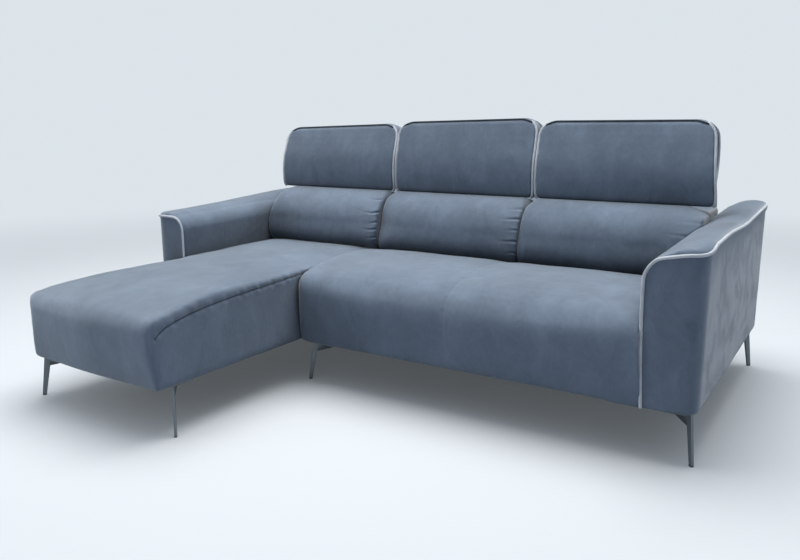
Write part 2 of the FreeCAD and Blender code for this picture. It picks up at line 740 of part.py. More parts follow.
all_screws = []
leg_blocks = []
for leg_name, (corner_x, corner_y, side_sign, front_sign) in LEGS.items():
    all_screws += leg_screws(leg_name + "_screw", corner_x, corner_y, side_sign, front_sign)
    near = (corner_x - S.leg_block_start * side_sign, corner_y - S.leg_block_start * front_sign)
    far = (near[0] - S.leg_block_size * side_sign, near[1] - S.leg_block_size * front_sign)
    low = [near[k] if near[k].value < far[k].value else far[k] for k in (0, 1)]
    high = [far[k] if near[k].value < far[k].value else near[k] for k in (0, 1)]
    leg_blocks.append(box(leg_name + "_block", (low[0], low[1], base_floor),
                          (high[0], high[1], base_floor + S.leg_block_height)))
screw_group = node("leg_screws", group("leg_screws", all_screws))
raw_blocks = group("leg_blocks_raw", leg_blocks)
node("leg_blocks", cut("leg_blocks", raw_blocks, [screw_group]))

leg_blank = leg_master("leg_master")
glide_blank = box("glide_master", (toe_reach - S.leg_toe_width, S.leg_thickness * -HALF, as_size(0)),
                  (toe_reach, S.leg_thickness * HALF, S.glide_height))
glides = []
for leg_name, (corner_x, corner_y, side_sign, front_sign) in LEGS.items():
    turn = QUARTER_TURNS[(side_sign, front_sign)]
    raw_leg = placed(leg_name + "_blank", leg_blank, (corner_x, corner_y), turn)
    node(leg_name, cut(leg_name, raw_leg, [screw_group]))
    glides.append(placed(leg_name + "_glide", glide_blank, (corner_x, corner_y), turn + DIAGONAL_ANGLE))
node("leg_glides", group("leg_glides", glides))


def covered(name, form, filling, cavities, openings):
    """Cover shell and foam of an upholstered body, with the frame space and openings taken out."""
    node(name + "_cover", cut(name + "_cover", form, [filling, screw_group] + openings))
    node(name + "_foam", cut(name + "_foam", filling, cavities + openings + [raw_blocks, screw_group]))


def dust_cover(name, low, high):
    """Thin cloth that closes the underside inside the stapled hem; returns the opening it fills."""
    bottom, top = underside, underside + S.cover_thickness
    opening = box(name + "_opening", (low[0], low[1], bottom - S.cut_overrun), (high[0], high[1], top))
    cloth = box(name + "_cloth", (low[0], low[1], bottom), (high[0], high[1], top))
    node(name, cut(name, cloth, [screw_group]))
    return opening


# Chaise seat
chaise_left = outer["left"] + S.chaise_side_inset
chaise_frame_low = (chaise_left + S.open_side_frame_inset, chaise_front + S.frame_front_inset)
chaise_frame_high = (chaise_right - S.frame_inset, back_face - S.cover_thickness)
arm_clear = seat_left_limit + S.frame_inset


def chaise_seat():
    """Chaise: a frame as wide as the seat beside the arm, with a short side frame before the arm."""
    low = (arm_clear, chaise_frame_low[1])
    high = chaise_frame_high
    wing_low, wing_high = chaise_frame_low, (arm_clear, arm_front - S.piping_radius * 2 - S.frame_inset)
    thick = S.rail_thickness
    wing = [
        box("wing_rail_side", (wing_low[0], wing_low[1], base_floor),
            (wing_low[0] + thick, wing_high[1], base_top)),
        box("wing_rail_front", (wing_low[0] + thick, wing_low[1], base_floor),
            (wing_high[0], wing_low[1] + thick, base_top)),
        box("wing_rail_rear", (wing_low[0] + thick, wing_high[1] - thick, base_floor),
            (wing_high[0], wing_high[1], base_top)),
    ]
    base_frame("chaise_base", low, high, CHAISE_CROSS_RAIL_COUNT, wing)
    crossing_straps("chaise_webbing", low, high, base_top)
    cavity = box("chaise_cavity", (low[0], low[1], base_floor),
                 (high[0], high[1], base_top + S.strap_thickness * 2))
    wing_cavity = box("chaise_wing_cavity", (wing_low[0], wing_low[1], base_floor),
                      (wing_high[0], wing_high[1], base_top))
    opening = dust_cover("chaise_dust_cover", (low[0] + S.hem_width, low[1] + S.hem_width),
                         (high[0] - S.hem_width, high[1] - S.hem_width))
    covered("chaise_seat", chaise_form("chaise_form", as_size(0)),
            chaise_form("chaise_filling", S.cover_thickness), [cavity, wing_cavity], [opening])


chaise_seat()


# Bench seat
def bench_seat():
    """Bench: one frame and one cover for two seats."""
    low = (bench_left + S.frame_inset, bench_front + S.frame_front_inset)
    high = (seat_right_limit - S.frame_inset, back_face - S.cover_thickness)
    base_frame("bench_base", low, high, BENCH_CROSS_RAIL_COUNT, [])
    crossing_straps("bench_webbing", low, high, base_top)
    cavity = box("bench_cavity", (low[0], low[1], base_floor),
                 (high[0], high[1], base_top + S.strap_thickness * 2))
    opening = dust_cover("bench_dust_cover", (low[0] + S.hem_width, low[1] + S.hem_width),
                         (high[0] - S.hem_width, high[1] - S.hem_width))
    covered("bench_seat", bench_form("bench_form", as_size(0)),
            bench_form("bench_filling", S.cover_thickness), [cavity], [opening])


bench_seat()


# Arms
def shoulder(side, inset):
    """Begin, middle and end of the rounding from the upright inner side of an arm to its sloping top."""
    out = SIGNS[side]
    radius = S.arm_shoulder_radius - inset
    start = arm_inner[side] + inset * out
    turn = math.radians(90 - SHOULDER_SLOPE_ANGLE)
    return [(start + radius * (out * (1 - math.cos(angle))), S.arm_side_height + radius * math.sin(angle))
            for angle in (0, turn * HALF, turn)]


def inner_side(side, inset, foot_height):
    """Foot and middle of the inner side of an arm, which leans in less and less towards its top."""
    out = SIGNS[side]
    foot = outer[side] - (S.arm_base_width - inset) * out
    top = arm_inner[side] + inset * out
    middle = top + (foot - top) * LEAN_AT_MIDDLE_SHARE
    return (foot, foot_height), (middle, (foot_height + S.arm_side_height) * HALF)


def arm_form(name, side, inset):
    """An arm: upright outer face, crowned top that rises to the rear, rounded shoulder, soft front corner.

    The section is drawn for the rear and tilted about the foot of the rear plane.
    """
    out = SIGNS[side]
    face = outer[side] - inset * out
    inner = arm_inner[side] + inset * out
    floor = underside + inset
    shoulder_start, shoulder_middle, shoulder_end = shoulder(side, inset)
    foot, side_middle = inner_side(side, inset, floor)
    crest = (face - S.arm_corner_radius * out, S.arm_crest_height - inset)
    outline = [
        [(face, floor - arm_rise)],
        [(face, S.arm_edge_height - inset)],
        [crest, shoulder_end],
        [shoulder_middle, shoulder_start],
        [side_middle, foot],
        [(foot[0], floor - arm_rise)],
    ]
    section = prism(name + "_section", "y", outline, arm_front - arm_rise, rear_plane + arm_rise)
    slope = math.radians(ARM_SLOPE_ANGLE)
    section.Placement.Rotation = FreeCAD.Rotation(Vector(1, 0, 0), ARM_SLOPE_ANGLE)
    bind(section, "Placement.Base.y", rear_plane * (1 - math.cos(slope)))
    bind(section, "Placement.Base.z", rear_plane * -math.sin(slope))
    low = (face if out < 0 else inner, arm_front + inset)
    high = (inner if out < 0 else face, rear_plane - inset)
    front_radius = S.arm_corner_radius - inset
    rear_radius = S.arm_rear_radius - inset
    radii = [None, front_radius, rear_radius, None] if out > 0 else [front_radius, None, None, rear_radius]
    plan = prism(name + "_plan", "z", rounded_outline(low, high, radii, inset.value > 0),
                 floor, S.arm_crest_height + arm_rise)
    return common(name, [section, plan])


def arm_frame(side):
    """Bottom and top boards, posts between them; returns the space they take up."""
    out = SIGNS[side]
    name = side + "_arm"
    wall = S.cover_thickness + S.arm_padding
    face = outer[side] - wall * out
    inner = outer[side] - (S.arm_base_width - wall) * out
    low = [face if out < 0 else inner, arm_front + wall, underside + S.cover_thickness]
    high = [inner if out < 0 else face, rear_plane - wall,
            S.arm_crest_height - arm_rise - S.arm_top_padding]
    thick = S.rail_thickness
    boards = [
        box(name + "_bottom_board", low, (high[0], high[1], low[2] + thick)),
        box(name + "_top_board", (low[0], low[1], high[2] - thick), high),
    ]
    span = high[1] - low[1] - thick
    for number in range(ARM_POST_COUNT):
        start = low[1] + span * (number / (ARM_POST_COUNT - 1))
        boards.append(box(f"{name}_post_{number}", (low[0], start, low[2] + thick),
                          (high[0], start + thick, high[2] - thick)))
    node(name + "_frame", cut(name + "_frame", group(name + "_boards", boards), [raw_blocks]))
    return box(name + "_cavity", low, high)


def arm_piping(side):
    """Cord up the inner edge of the front panel and over it, then round the corner and up to the rear."""
    out = SIGNS[side]
    name = side + "_arm_piping"
    lift, inset, radius = S.piping_radius, S.piping_inset, S.arm_corner_radius
    face = outer[side]
    front = arm_front - lift
    turn = face - radius * out
    start, middle, end = [(point[0], point[1] - arm_rise) for point in shoulder(side, inset)]
    foot, side_middle = inner_side(side, inset, underside + lift)
    side_middle = (side_middle[0], side_middle[1] - arm_rise * HALF)
    level = end[1] + (turn - end[0]) * (out * math.tan(math.radians(SHOULDER_SLOPE_ANGLE)))
    upright = cord(name + "_front", "y", front,
                   [[foot], [side_middle, start], [middle, end], [(turn, level)]], lift)
    sweep = (radius + lift) * DIAGONAL_SHARE
    beside = face + lift * out
    level_run = cord(name + "_top", "z", level - front * math.tan(math.radians(ARM_SLOPE_ANGLE)),
                     [[(turn, front)], [(turn + sweep * out, arm_front + radius - sweep),
                                        (beside, arm_front + radius)],
                      [(beside, rear_plane - S.arm_rear_radius)]],
                     lift, ARM_SLOPE_ANGLE)
    return node(name, fuse(name, [upright, level_run]))


for arm_side in ("left", "right"):
    hollow = arm_frame(arm_side)
    covered(arm_side + "_arm", arm_form(arm_side + "_arm_form", arm_side, as_size(0)),
            arm_form(arm_side + "_arm_filling", arm_side, S.cover_thickness), [hollow], [])
    arm_piping(arm_side)


# Headrest places along the sofa
bench_headrest_middle = (joint_plane + outer["right"] - S.headrest_outer_inset) * HALF
HEADREST_SPANS = {
    "left": (outer["left"] + S.headrest_outer_inset, joint_plane),
    "middle": (joint_plane, bench_headrest_middle),
    "right": (bench_headrest_middle, outer["right"] - S.headrest_outer_inset),
}
pivot_y = back_face + S.pivot_setback
pivot_z = S.shelf_height + S.pivot_rise
rail_face = back_face + S.back_padding


def hinge_places(span):
    """Middles of the two hinges of a headrest."""
    centre = (span[0] + span[1]) * HALF
    return [centre - S.hinge_spacing * HALF, centre + S.hinge_spacing * HALF]


# Backs
def back_form(name, left, right, inset):
    """The deep back with rounded top edges, one module wide."""
    floor = underside + inset
    outline = rounded_outline(
        (back_face + inset, floor), (rear_plane - inset, S.shelf_height - inset),
        [None, S.back_tuck_radius - inset, S.back_edge_radius - inset, S.back_edge_radius - inset],
        inset.value > 0)
    return prism(name, "x", outline, left + inset, right - inset)


def back_module(name, left, right, spans):
    """Frame, foam and cover of the back of one module, with slots for the hinge plates."""
    wall = S.back_padding
    low = (left + wall, back_face + wall, underside + S.cover_thickness)
    high = (right - wall, rear_plane - wall, S.shelf_height - wall - S.cover_thickness)
    thick, tall = S.rail_thickness, S.back_rail_height
    rails = []
    for place, (y, z) in enumerate((
            (low[1], low[2]), (high[1] - thick, low[2]),
            (low[1], high[2] - tall), (high[1] - thick, high[2] - tall))):
        rails.append(box(f"{name}_rail_{place}", (low[0], y, z), (high[0], y + thick, z + tall)))
    rail_group = group(name + "_rails", rails)
    margin = S.panel_window_margin
    window = prism(name + "_window", "x",
                   rounded_outline((low[1] + margin, low[2] + margin), (high[1] - margin, high[2] - margin),
                                   [margin * HALF] * 4, True),
                   low[0] - S.cut_overrun, high[0] + S.cut_overrun)
    panels = []
    count = len(spans) + 1
    span = high[0] - low[0] - S.panel_thickness
    for number in range(count):
        start = low[0] + span * (number / (count - 1))
        panels.append(box(f"{name}_panel_{number}", (start, low[1], low[2]),
                          (start + S.panel_thickness, high[1], high[2])))
    cut_panels = cut(name + "_panels", group(name + "_panel_blanks", panels), [rail_group, window])
    timber = group(name + "_timber", [rail_group, cut_panels])
    node(name + "_frame", cut(name + "_frame", timber, [raw_blocks]))
    slots = []
    for span in spans:
        for place, x in enumerate(hinge_places(span)):
            slots += hinge_slot(f"{name}_slot_{len(slots)}", x)
    filling = back_form(name + "_filling", left, right, S.cover_thickness)
    covered(name, back_form(name + "_form", left, right, as_size(0)), filling,
            [box(name + "_cavity", low, high)], slots)


cheek_half = S.arm_web_thickness * HALF + S.arm_side_clearance + S.cheek_thickness


def hinge_slot(name, x):
    """Room in foam and cover for the cheeks, and in the foam for the flange of a hinge plate."""
    clear = S.slot_clearance
    foot = pivot_z - S.cheek_reach - clear
    cheek_room = box(name + "_cheeks",
                     (x - cheek_half - clear, pivot_y - S.cheek_radius - clear, foot),
                     (x + cheek_half + clear, pivot_y + S.cheek_radius + clear, S.shelf_height + clear))
    flange_room = box(name + "_flange",
                      (x - S.flange_width * HALF - clear, rail_face - S.cheek_thickness, foot),
                      (x + S.flange_width * HALF + clear, rail_face, rail_top_height + clear))
    return [cheek_room, flange_room]


rail_top_height = S.shelf_height - S.back_padding - S.cover_thickness
back_module("chaise_back", seat_left_limit, joint_plane - S.soft_gap * HALF, [HEADREST_SPANS["left"]])
back_module("bench_back", joint_plane + S.soft_gap * HALF, seat_right_limit,
            [HEADREST_SPANS["middle"], HEADREST_SPANS["right"]])


# Lumbar cushions
def lumbar_cushion(name, left, right):
    """A plump cushion standing on the seat, against the face of the back."""
    floor = S.seat_rear_height + S.rest_gap
    front = back_face - S.lumbar_depth
    rear = back_face - S.soft_gap
    top = floor + S.lumbar_height
    outline = [
        [(front, floor)],
        [(front - S.lumbar_bulge, floor + S.lumbar_bulge_rise),
         (rear - S.lumbar_top_depth - S.lumbar_bulge, top - S.lumbar_bulge * HALF)],
        [(rear - S.lumbar_top_depth, top - S.lumbar_bulge * HALF * (1 - DIAGONAL_SHARE)),
         (rear - S.lumbar_top_depth * HALF, top)],
        [(rear, top - S.lumbar_bulge * HALF)],
        [(rear, floor)],
    ]
    side_view = prism(name + "_side", "x", outline, left, right)
    face_view = prism(name + "_face", "y",
                      rounded_outline((left, floor), (right, top), [S.lumbar_corner_radius] * 4),
                      front - S.lumbar_bulge * 2, rear)
    return node(name, common(name, [side_view, face_view]))


lumbar_cushion("lumbar_cushion_left", seat_left_limit, joint_plane - S.soft_gap * HALF)
lumbar_cushion("lumbar_cushion_middle", joint_plane + S.soft_gap * HALF,
               bench_headrest_middle - S.soft_gap * HALF)
lumbar_cushion("lumbar_cushion_right", bench_headrest_middle + S.soft_gap * HALF, seat_right_limit)


# Headrests
headrest_front = back_face - S.headrest_setforward


def headrest_side_outline(inset):
    """Side view: nearly upright front, rounded top, full rear that draws in to a slim foot."""
    foot, top = S.headrest_bottom_height + inset, S.headrest_top_height - inset
    front = headrest_front + inset
    lean = S.headrest_lean
    rise = S.headrest_top_height - S.headrest_bottom_height
    shoulder = top - S.headrest_shoulder
    top_rear = front + lean + S.headrest_top_depth - inset * 2
    return [
        [(front, foot)],
        [(front - S.headrest_swell, S.headrest_bottom_height + rise * HALF), (front + lean, shoulder)],
        [(front + lean + S.headrest_top_depth * HALF - inset, top), (top_rear, shoulder)],
        [(headrest_front + S.headrest_depth - inset, S.headrest_bottom_height + S.headrest_bulge_rise),
         (front + S.headrest_foot_depth - inset * 2, foot)],
    ]


def headrest_form(name, left, right, inset):
    """Side view and rounded front view of a headrest brought together."""
    foot, top = S.headrest_bottom_height + inset, S.headrest_top_height - inset
    side_view = prism(name + "_side", "x", headrest_side_outline(inset), left + inset, right - inset)
    face_view = prism(
        name + "_face", "y",
        rounded_outline((left + inset, foot), (right - inset, top),
                        [S.headrest_foot_radius - inset, S.headrest_foot_radius - inset,
                         S.headrest_corner_radius - inset, S.headrest_corner_radius - inset],
                        inset.value > 0),
        headrest_front - S.headrest_swell * 2, headrest_front + S.headrest_depth)
    return common(name, [side_view, face_view])


def headrest_board(name, left, right):
    """Plywood board with rounded corners, upright in the headrest."""
    margin = S.board_margin
    front = headrest_front + S.board_setback
    radius = S.headrest_foot_radius
    return prism(name, "y",
                 rounded_outline((left + margin, S.headrest_bottom_height + S.board_margin * HALF),
                                 (right - margin, S.headrest_top_height - margin), [radius] * 4, True),
                 front, front + S.board_thickness)


board_rear = headrest_front + S.board_setback + S.board_thickness


def gusset_cords(name, left, right):
    """Cords along the front and rear edges of both end gussets, between the rounded corners."""
    radius = S.piping_radius
    outline = headrest_side_outline(S.piping_inset)
    front_edge = [[outline[0][-1]], outline[1]]
    rear_edge = [[outline[3][-1]], [outline[3][0], outline[2][-1]]]
    low = S.headrest_bottom_height + S.headrest_foot_radius
    high = S.headrest_top_height - S.headrest_corner_radius
    cords = []
    for place, x in (("left", left - radius), ("right", right + radius)):
        band = box(f"{name}_{place}_band", (x - radius, headrest_front - S.headrest_depth, low),
                   (x + radius, headrest_front + S.headrest_depth * 2, high))
        for edge, path in (("front", front_edge), ("rear", rear_edge)):
            whole = cord(f"{name}_{place}_{edge}", "x", x, path, radius)
            cords.append(common(f"{name}_{place}_{edge}_length", [whole, band]))
    return node(name, group(name, cords))


# Ratchet hinges
def hinge_plate(name, x):
    """Fixed plate: a flange for the rail and two cheeks that rise to the pivot."""
    foot = pivot_z - S.cheek_reach
    radius = S.cheek_radius
    flange_front = rail_face - S.cheek_thickness
    outline = [
        [(flange_front, foot)],
        [(rail_face, foot)],
        [(rail_face, rail_top_height)],
        [(pivot_y + radius, rail_top_height + S.slot_clearance)],
        [(pivot_y + radius, pivot_z + radius * HALF)],
        [(pivot_y + radius * HALF, pivot_z + radius)],
        [(pivot_y - radius * HALF, pivot_z + radius)],
        [(pivot_y - radius, pivot_z + radius * HALF)],
        [(pivot_y - radius, foot + radius)],
    ]
    gap = S.arm_web_thickness * HALF + S.arm_side_clearance
    cheeks = [
        prism(name + "_cheek_a", "x", outline, x - cheek_half, x - gap),
        prism(name + "_cheek_b", "x", outline, x + gap, x + cheek_half),
    ]
    flange = box(name + "_flange", (x - S.flange_width * HALF, flange_front, foot),
                 (x + S.flange_width * HALF, rail_face, rail_top_height))
    bore = cylinder(name + "_bore", (x - cheek_half - S.cut_overrun, pivot_y, pivot_z), S.pin_radius,
                    (cheek_half + S.cut_overrun) * 2, "x")
    return cut(name, fuse(name + "_blank", cheeks + [flange]), [bore])


def hinge_pin(name, x):
    """Riveted pivot pin through both cheeks."""
    shank = cylinder(name + "_shank", (x - cheek_half, pivot_y, pivot_z), S.pin_radius, cheek_half * 2, "x")
    heads = [
        facetted_bar(name + "_head_a", (x - cheek_half - S.pin_head_height, pivot_y, pivot_z),
                     S.pin_head_radius, S.pin_head_height, "x", RIVET_SIDES),
        facetted_bar(name + "_head_b", (x + cheek_half, pivot_y, pivot_z),
                     S.pin_head_radius, S.pin_head_height, "x", RIVET_SIDES),
    ]
    return fuse(name, [shank] + heads)


def around_pivot(radius, angle):
    """Point at a radius and an angle from straight up, leaning back."""
    turn = math.radians(angle)
    return (pivot_y + radius * math.sin(turn), pivot_z + radius * math.cos(turn))


def toothed_sector():
    """Outline round the pivot: plain hub, with saw teeth on the rear and lower side."""
    steps = []
    root = S.ratchet_radius - S.tooth_depth
    for number in range(TOOTH_COUNT):
        angle = FIRST_TOOTH_ANGLE + number * TOOTH_PITCH_ANGLE
        steps.append([around_pivot(root, angle)])
        steps.append([around_pivot(S.ratchet_radius, angle)])
    last = FIRST_TOOTH_ANGLE + TOOTH_COUNT * TOOTH_PITCH_ANGLE
    steps.append([around_pivot(root, last)])
    steps.append([around_pivot(S.hub_radius, last)])
    half_way = (last + FULL_TURN_ANGLE + FIRST_TOOTH_ANGLE) * HALF
    steps.append([around_pivot(S.hub_radius, half_way), around_pivot(S.hub_radius, FIRST_TOOTH_ANGLE)])
    return steps


def hinge_arm(name, x):
    """Moving arm: toothed hub, web rising into the headrest, and the flange screwed to the board."""
    half = S.arm_web_thickness * HALF
    sector = prism(name + "_sector", "x", toothed_sector(), x - half, x + half)
    flange_foot = pivot_z + S.arm_flange_rise
    flange_top = flange_foot + S.arm_flange_height
    web_outline = [
        [(pivot_y - S.hub_radius * HALF, pivot_z)],
        [(board_rear, flange_foot)],
        [(board_rear, flange_top)],
        [(board_rear + S.arm_web_depth * HALF, flange_top)],
        [(board_rear + S.arm_web_depth, flange_foot)],
        [(pivot_y + S.hub_radius * HALF, pivot_z)],
    ]
    web = prism(name + "_web", "x", web_outline, x - half, x + half)
    flange = box(name + "_flange", (x - S.arm_flange_width * HALF, board_rear, flange_foot),
                 (x + S.arm_flange_width * HALF, board_rear + S.cheek_thickness, flange_top))
    bore = cylinder(name + "_bore", (x - half - S.cut_overrun, pivot_y, pivot_z),
                    S.pin_radius + S.pin_clearance, (half + S.cut_overrun) * 2, "x")
    return cut(name, fuse(name + "_blank", [sector, web, flange]), [bore])


def hinge_pawl(name, x):
    """Spring strip on the flange that reaches up to the teeth."""
    half = S.arm_web_thickness * HALF
    flange_front = rail_face - S.cheek_thickness
    tip = around_pivot(S.ratchet_radius + S.pawl_gap, PAWL_ANGLE)
    thick = S.pawl_thickness
    foot = tip[1] - S.pawl_length
    bend = tip[1] - S.pawl_length * HALF
    outline = [
        [(flange_front, foot)],
        [(flange_front, bend)],
        [(tip[0] + thick, tip[1] - thick * 2)],
        [(tip[0], tip[1])],
        [(tip[0] - thick * HALF, tip[1] - thick * 2)],
        [(flange_front - thick, bend)],
        [(flange_front - thick, foot)],
    ]
    return prism(name, "x", outline, x - half, x + half)


def headrest_room(name, x):
    """Space in foam and cover of a headrest for a moving arm."""
    clear = S.rest_gap
    flange_foot = pivot_z + S.arm_flange_rise
    flange_top = flange_foot + S.arm_flange_height
    half = S.arm_web_thickness * HALF + clear
    web_room = box(name + "_web", (x - half, board_rear, S.headrest_bottom_height - S.cut_overrun),
                   (x + half, board_rear + S.arm_web_depth + S.slot_clearance, flange_top + clear))
    foot = S.headrest_bottom_height - S.cut_overrun
    mouth = box(name + "_mouth", (x - half, headrest_front + S.board_setback, foot),
                (x + half, pivot_y + S.cheek_radius, flange_foot + clear))
    flange_half = S.arm_flange_width * HALF + clear
    flange_room = box(name + "_flange", (x - flange_half, board_rear, flange_foot - clear),
                      (x + flange_half, board_rear + S.cheek_thickness + clear, flange_top + clear))
    return [web_room, mouth, flange_room]


plates, pins, pawls = [], [], []
for place, span in HEADREST_SPANS.items():
    name = "headrest_" + place
    end_inset = S.piping_radius * 2 + S.headrest_gap * HALF
    left, right = span[0] + end_inset, span[1] - end_inset
    board = headrest_board(name + "_board", left, right)
    board_blank = node(name + "_board", board)
    arms, rooms = [], []
    for number, x in enumerate(hinge_places(span)):
        plates.append(hinge_plate(f"{name}_plate_{number}", x))
        pins.append(hinge_pin(f"{name}_pin_{number}", x))
        pawls.append(hinge_pawl(f"{name}_pawl_{number}", x))
        arms.append(hinge_arm(f"{name}_arm_{number}", x))
        rooms += headrest_room(f"{name}_room_{number}", x)
    node(name + "_hinge_arms", group(name + "_hinge_arms", arms))
    form = headrest_form(name + "_form", left, right, as_size(0))
    filling = headrest_form(name + "_filling", left, right, S.cover_thickness)
    node(name + "_cover", cut(name + "_cover", form, [filling] + rooms))
    node(name + "_foam", cut(name + "_foam", filling, [board] + rooms))
    gusset_cords(name + "_piping", left, right)
node("hinge_plates", group("hinge_plates", plates))
node("hinge_pins", group("hinge_pins", pins))
node("hinge_pawls", group("hinge_pawls", pawls))


# Connectors under the joint between the modules
def connector(number, y):
    """A tapered tongue on the bench that slides into a bridge on the chaise."""
    thick = S.connector_plate_thickness
    top = underside
    plate_foot = top - thick
    tongue_top = plate_foot - thick
    tongue_foot = tongue_top - thick
    low_y, high_y = y - S.connector_plate_length * HALF, y + S.connector_plate_length * HALF
    start = joint_plane + S.joint_tuck_radius
    plate = box(f"tongue_plate_{number}", (start, low_y, plate_foot),
                (start + S.connector_plate_width, high_y, top))
    root, tip = S.connector_tongue_width * HALF, S.connector_tip_width * HALF
    reach = joint_plane - S.connector_tongue_length
    far_end = start + S.connector_plate_width
    tongue = prism(f"tongue_{number}", "z",
                   [[(far_end, y - root)], [(far_end, y + root)], [(reach, y + tip)], [(reach, y - tip)]],
                   tongue_foot, tongue_top)
    step = box(f"tongue_step_{number}", (start, y - root, tongue_top),
               (far_end, y + root, plate_foot))
    hook = fuse(f"module_hook_{number}", [plate, step, tongue])
    clear = S.connector_clearance
    far = joint_plane - S.joint_tuck_radius
    deck_top = tongue_foot - clear
    deck_floor = deck_top - thick
    near_edge = far - S.bridge_length
    inner_low, inner_high = y - root - clear, y + root + clear
    base = box(f"bridge_plate_{number}", (far - S.connector_plate_width, low_y, plate_foot),
               (far, high_y, top))
    wall_a = box(f"bridge_wall_a_{number}", (near_edge, inner_low - thick, deck_floor),
                 (far, inner_low, plate_foot))
    wall_b = box(f"bridge_wall_b_{number}", (near_edge, inner_high, deck_floor),
                 (far, inner_high + thick, plate_foot))
    deck = box(f"bridge_deck_{number}", (near_edge, inner_low - thick, deck_floor),
               (far, inner_high + thick, deck_top))
    catch = fuse(f"module_catch_{number}", [base, wall_a, wall_b, deck])
    return hook, catch


first_connector = bench_front + S.connector_setback
pairs = [connector(number, first_connector + S.connector_spread * number) for number in (0, 1)]
node("module_hooks", group("module_hooks", [pair[0] for pair in pairs]))
node("module_catches", group("module_catches", [pair[1] for pair in pairs]))


# Recompute, check and write
doc.recompute()
faults = [thing.Name for thing in doc.Objects if {"Invalid", "Error"} & set(thing.State)]
if faults:
    raise RuntimeError("objects that failed: " + ", ".join(faults))
for piece in NODES:
    if piece.Shape.isNull() or not piece.Shape.isValid() or not piece.Shape.Solids:
        raise RuntimeError("sub-part without a valid solid: " + piece.Label)
for piece in NODES:
    piece.Shape.exportStep(os.path.join("parts", piece.Label + ".step"))
print(len(NODES), "sub-parts,", sum(len(piece.Shape.Solids) for piece in NODES), "solids")
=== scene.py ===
"""Looks of a modular corner sofa: velvet upholstery with pale piping on folded metal legs.

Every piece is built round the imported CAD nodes, in metres, in their frame.
"""

import math

import bmesh
import bpy
import numpy as np
from mathutils import Matrix, Vector, noise
from mathutils.bvhtree import BVHTree
from mathutils.kdtree import KDTree


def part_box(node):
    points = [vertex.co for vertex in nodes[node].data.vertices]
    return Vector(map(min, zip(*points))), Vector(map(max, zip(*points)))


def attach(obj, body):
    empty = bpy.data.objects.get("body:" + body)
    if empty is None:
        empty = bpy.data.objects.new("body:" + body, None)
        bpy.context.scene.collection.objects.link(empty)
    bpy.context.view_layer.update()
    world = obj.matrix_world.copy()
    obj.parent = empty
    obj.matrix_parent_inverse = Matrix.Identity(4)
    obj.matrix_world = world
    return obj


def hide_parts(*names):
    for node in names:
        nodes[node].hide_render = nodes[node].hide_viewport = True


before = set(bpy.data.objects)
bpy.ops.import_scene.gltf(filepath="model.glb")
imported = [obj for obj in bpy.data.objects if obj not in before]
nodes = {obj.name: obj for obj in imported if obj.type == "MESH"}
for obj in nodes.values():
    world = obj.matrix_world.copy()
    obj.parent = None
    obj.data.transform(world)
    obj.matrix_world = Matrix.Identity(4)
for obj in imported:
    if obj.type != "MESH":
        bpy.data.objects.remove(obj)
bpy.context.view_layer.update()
scene = bpy.context.scene
SIDES = ("left", "middle", "right")


# Camera, solved from the photograph's vanishing lines
CAMERA_PLACE = (1.357, -2.142, 0.91)
CAMERA_YAW, CAMERA_PITCH, CAMERA_ROLL = math.radians(32.82), math.radians(11.944), 0.0058
SENSOR_WIDTH = 36
FOCAL_PIXELS, PHOTO_PIXELS = 739.1, 800


def make_camera():
    yaw, pitch, roll = CAMERA_YAW, CAMERA_PITCH, CAMERA_ROLL
    forward = Vector((-math.sin(yaw) * math.cos(pitch), math.cos(yaw) * math.cos(pitch), -math.sin(pitch)))
    right = Vector((math.cos(yaw), math.sin(yaw), 0))
    down = forward.cross(right)
    across = right * math.cos(roll) + down * math.sin(roll)
    below = down * math.cos(roll) - right * math.sin(roll)
    data = bpy.data.cameras.new("camera")
    data.sensor_width = SENSOR_WIDTH
    data.lens = SENSOR_WIDTH * FOCAL_PIXELS / PHOTO_PIXELS
    camera = bpy.data.objects.new("camera", data)
    scene.collection.objects.link(camera)
    turn = Matrix((across, -below, -forward)).transposed().to_4x4()
    camera.matrix_world = Matrix.Translation(CAMERA_PLACE) @ turn
    scene.camera = camera


make_camera()


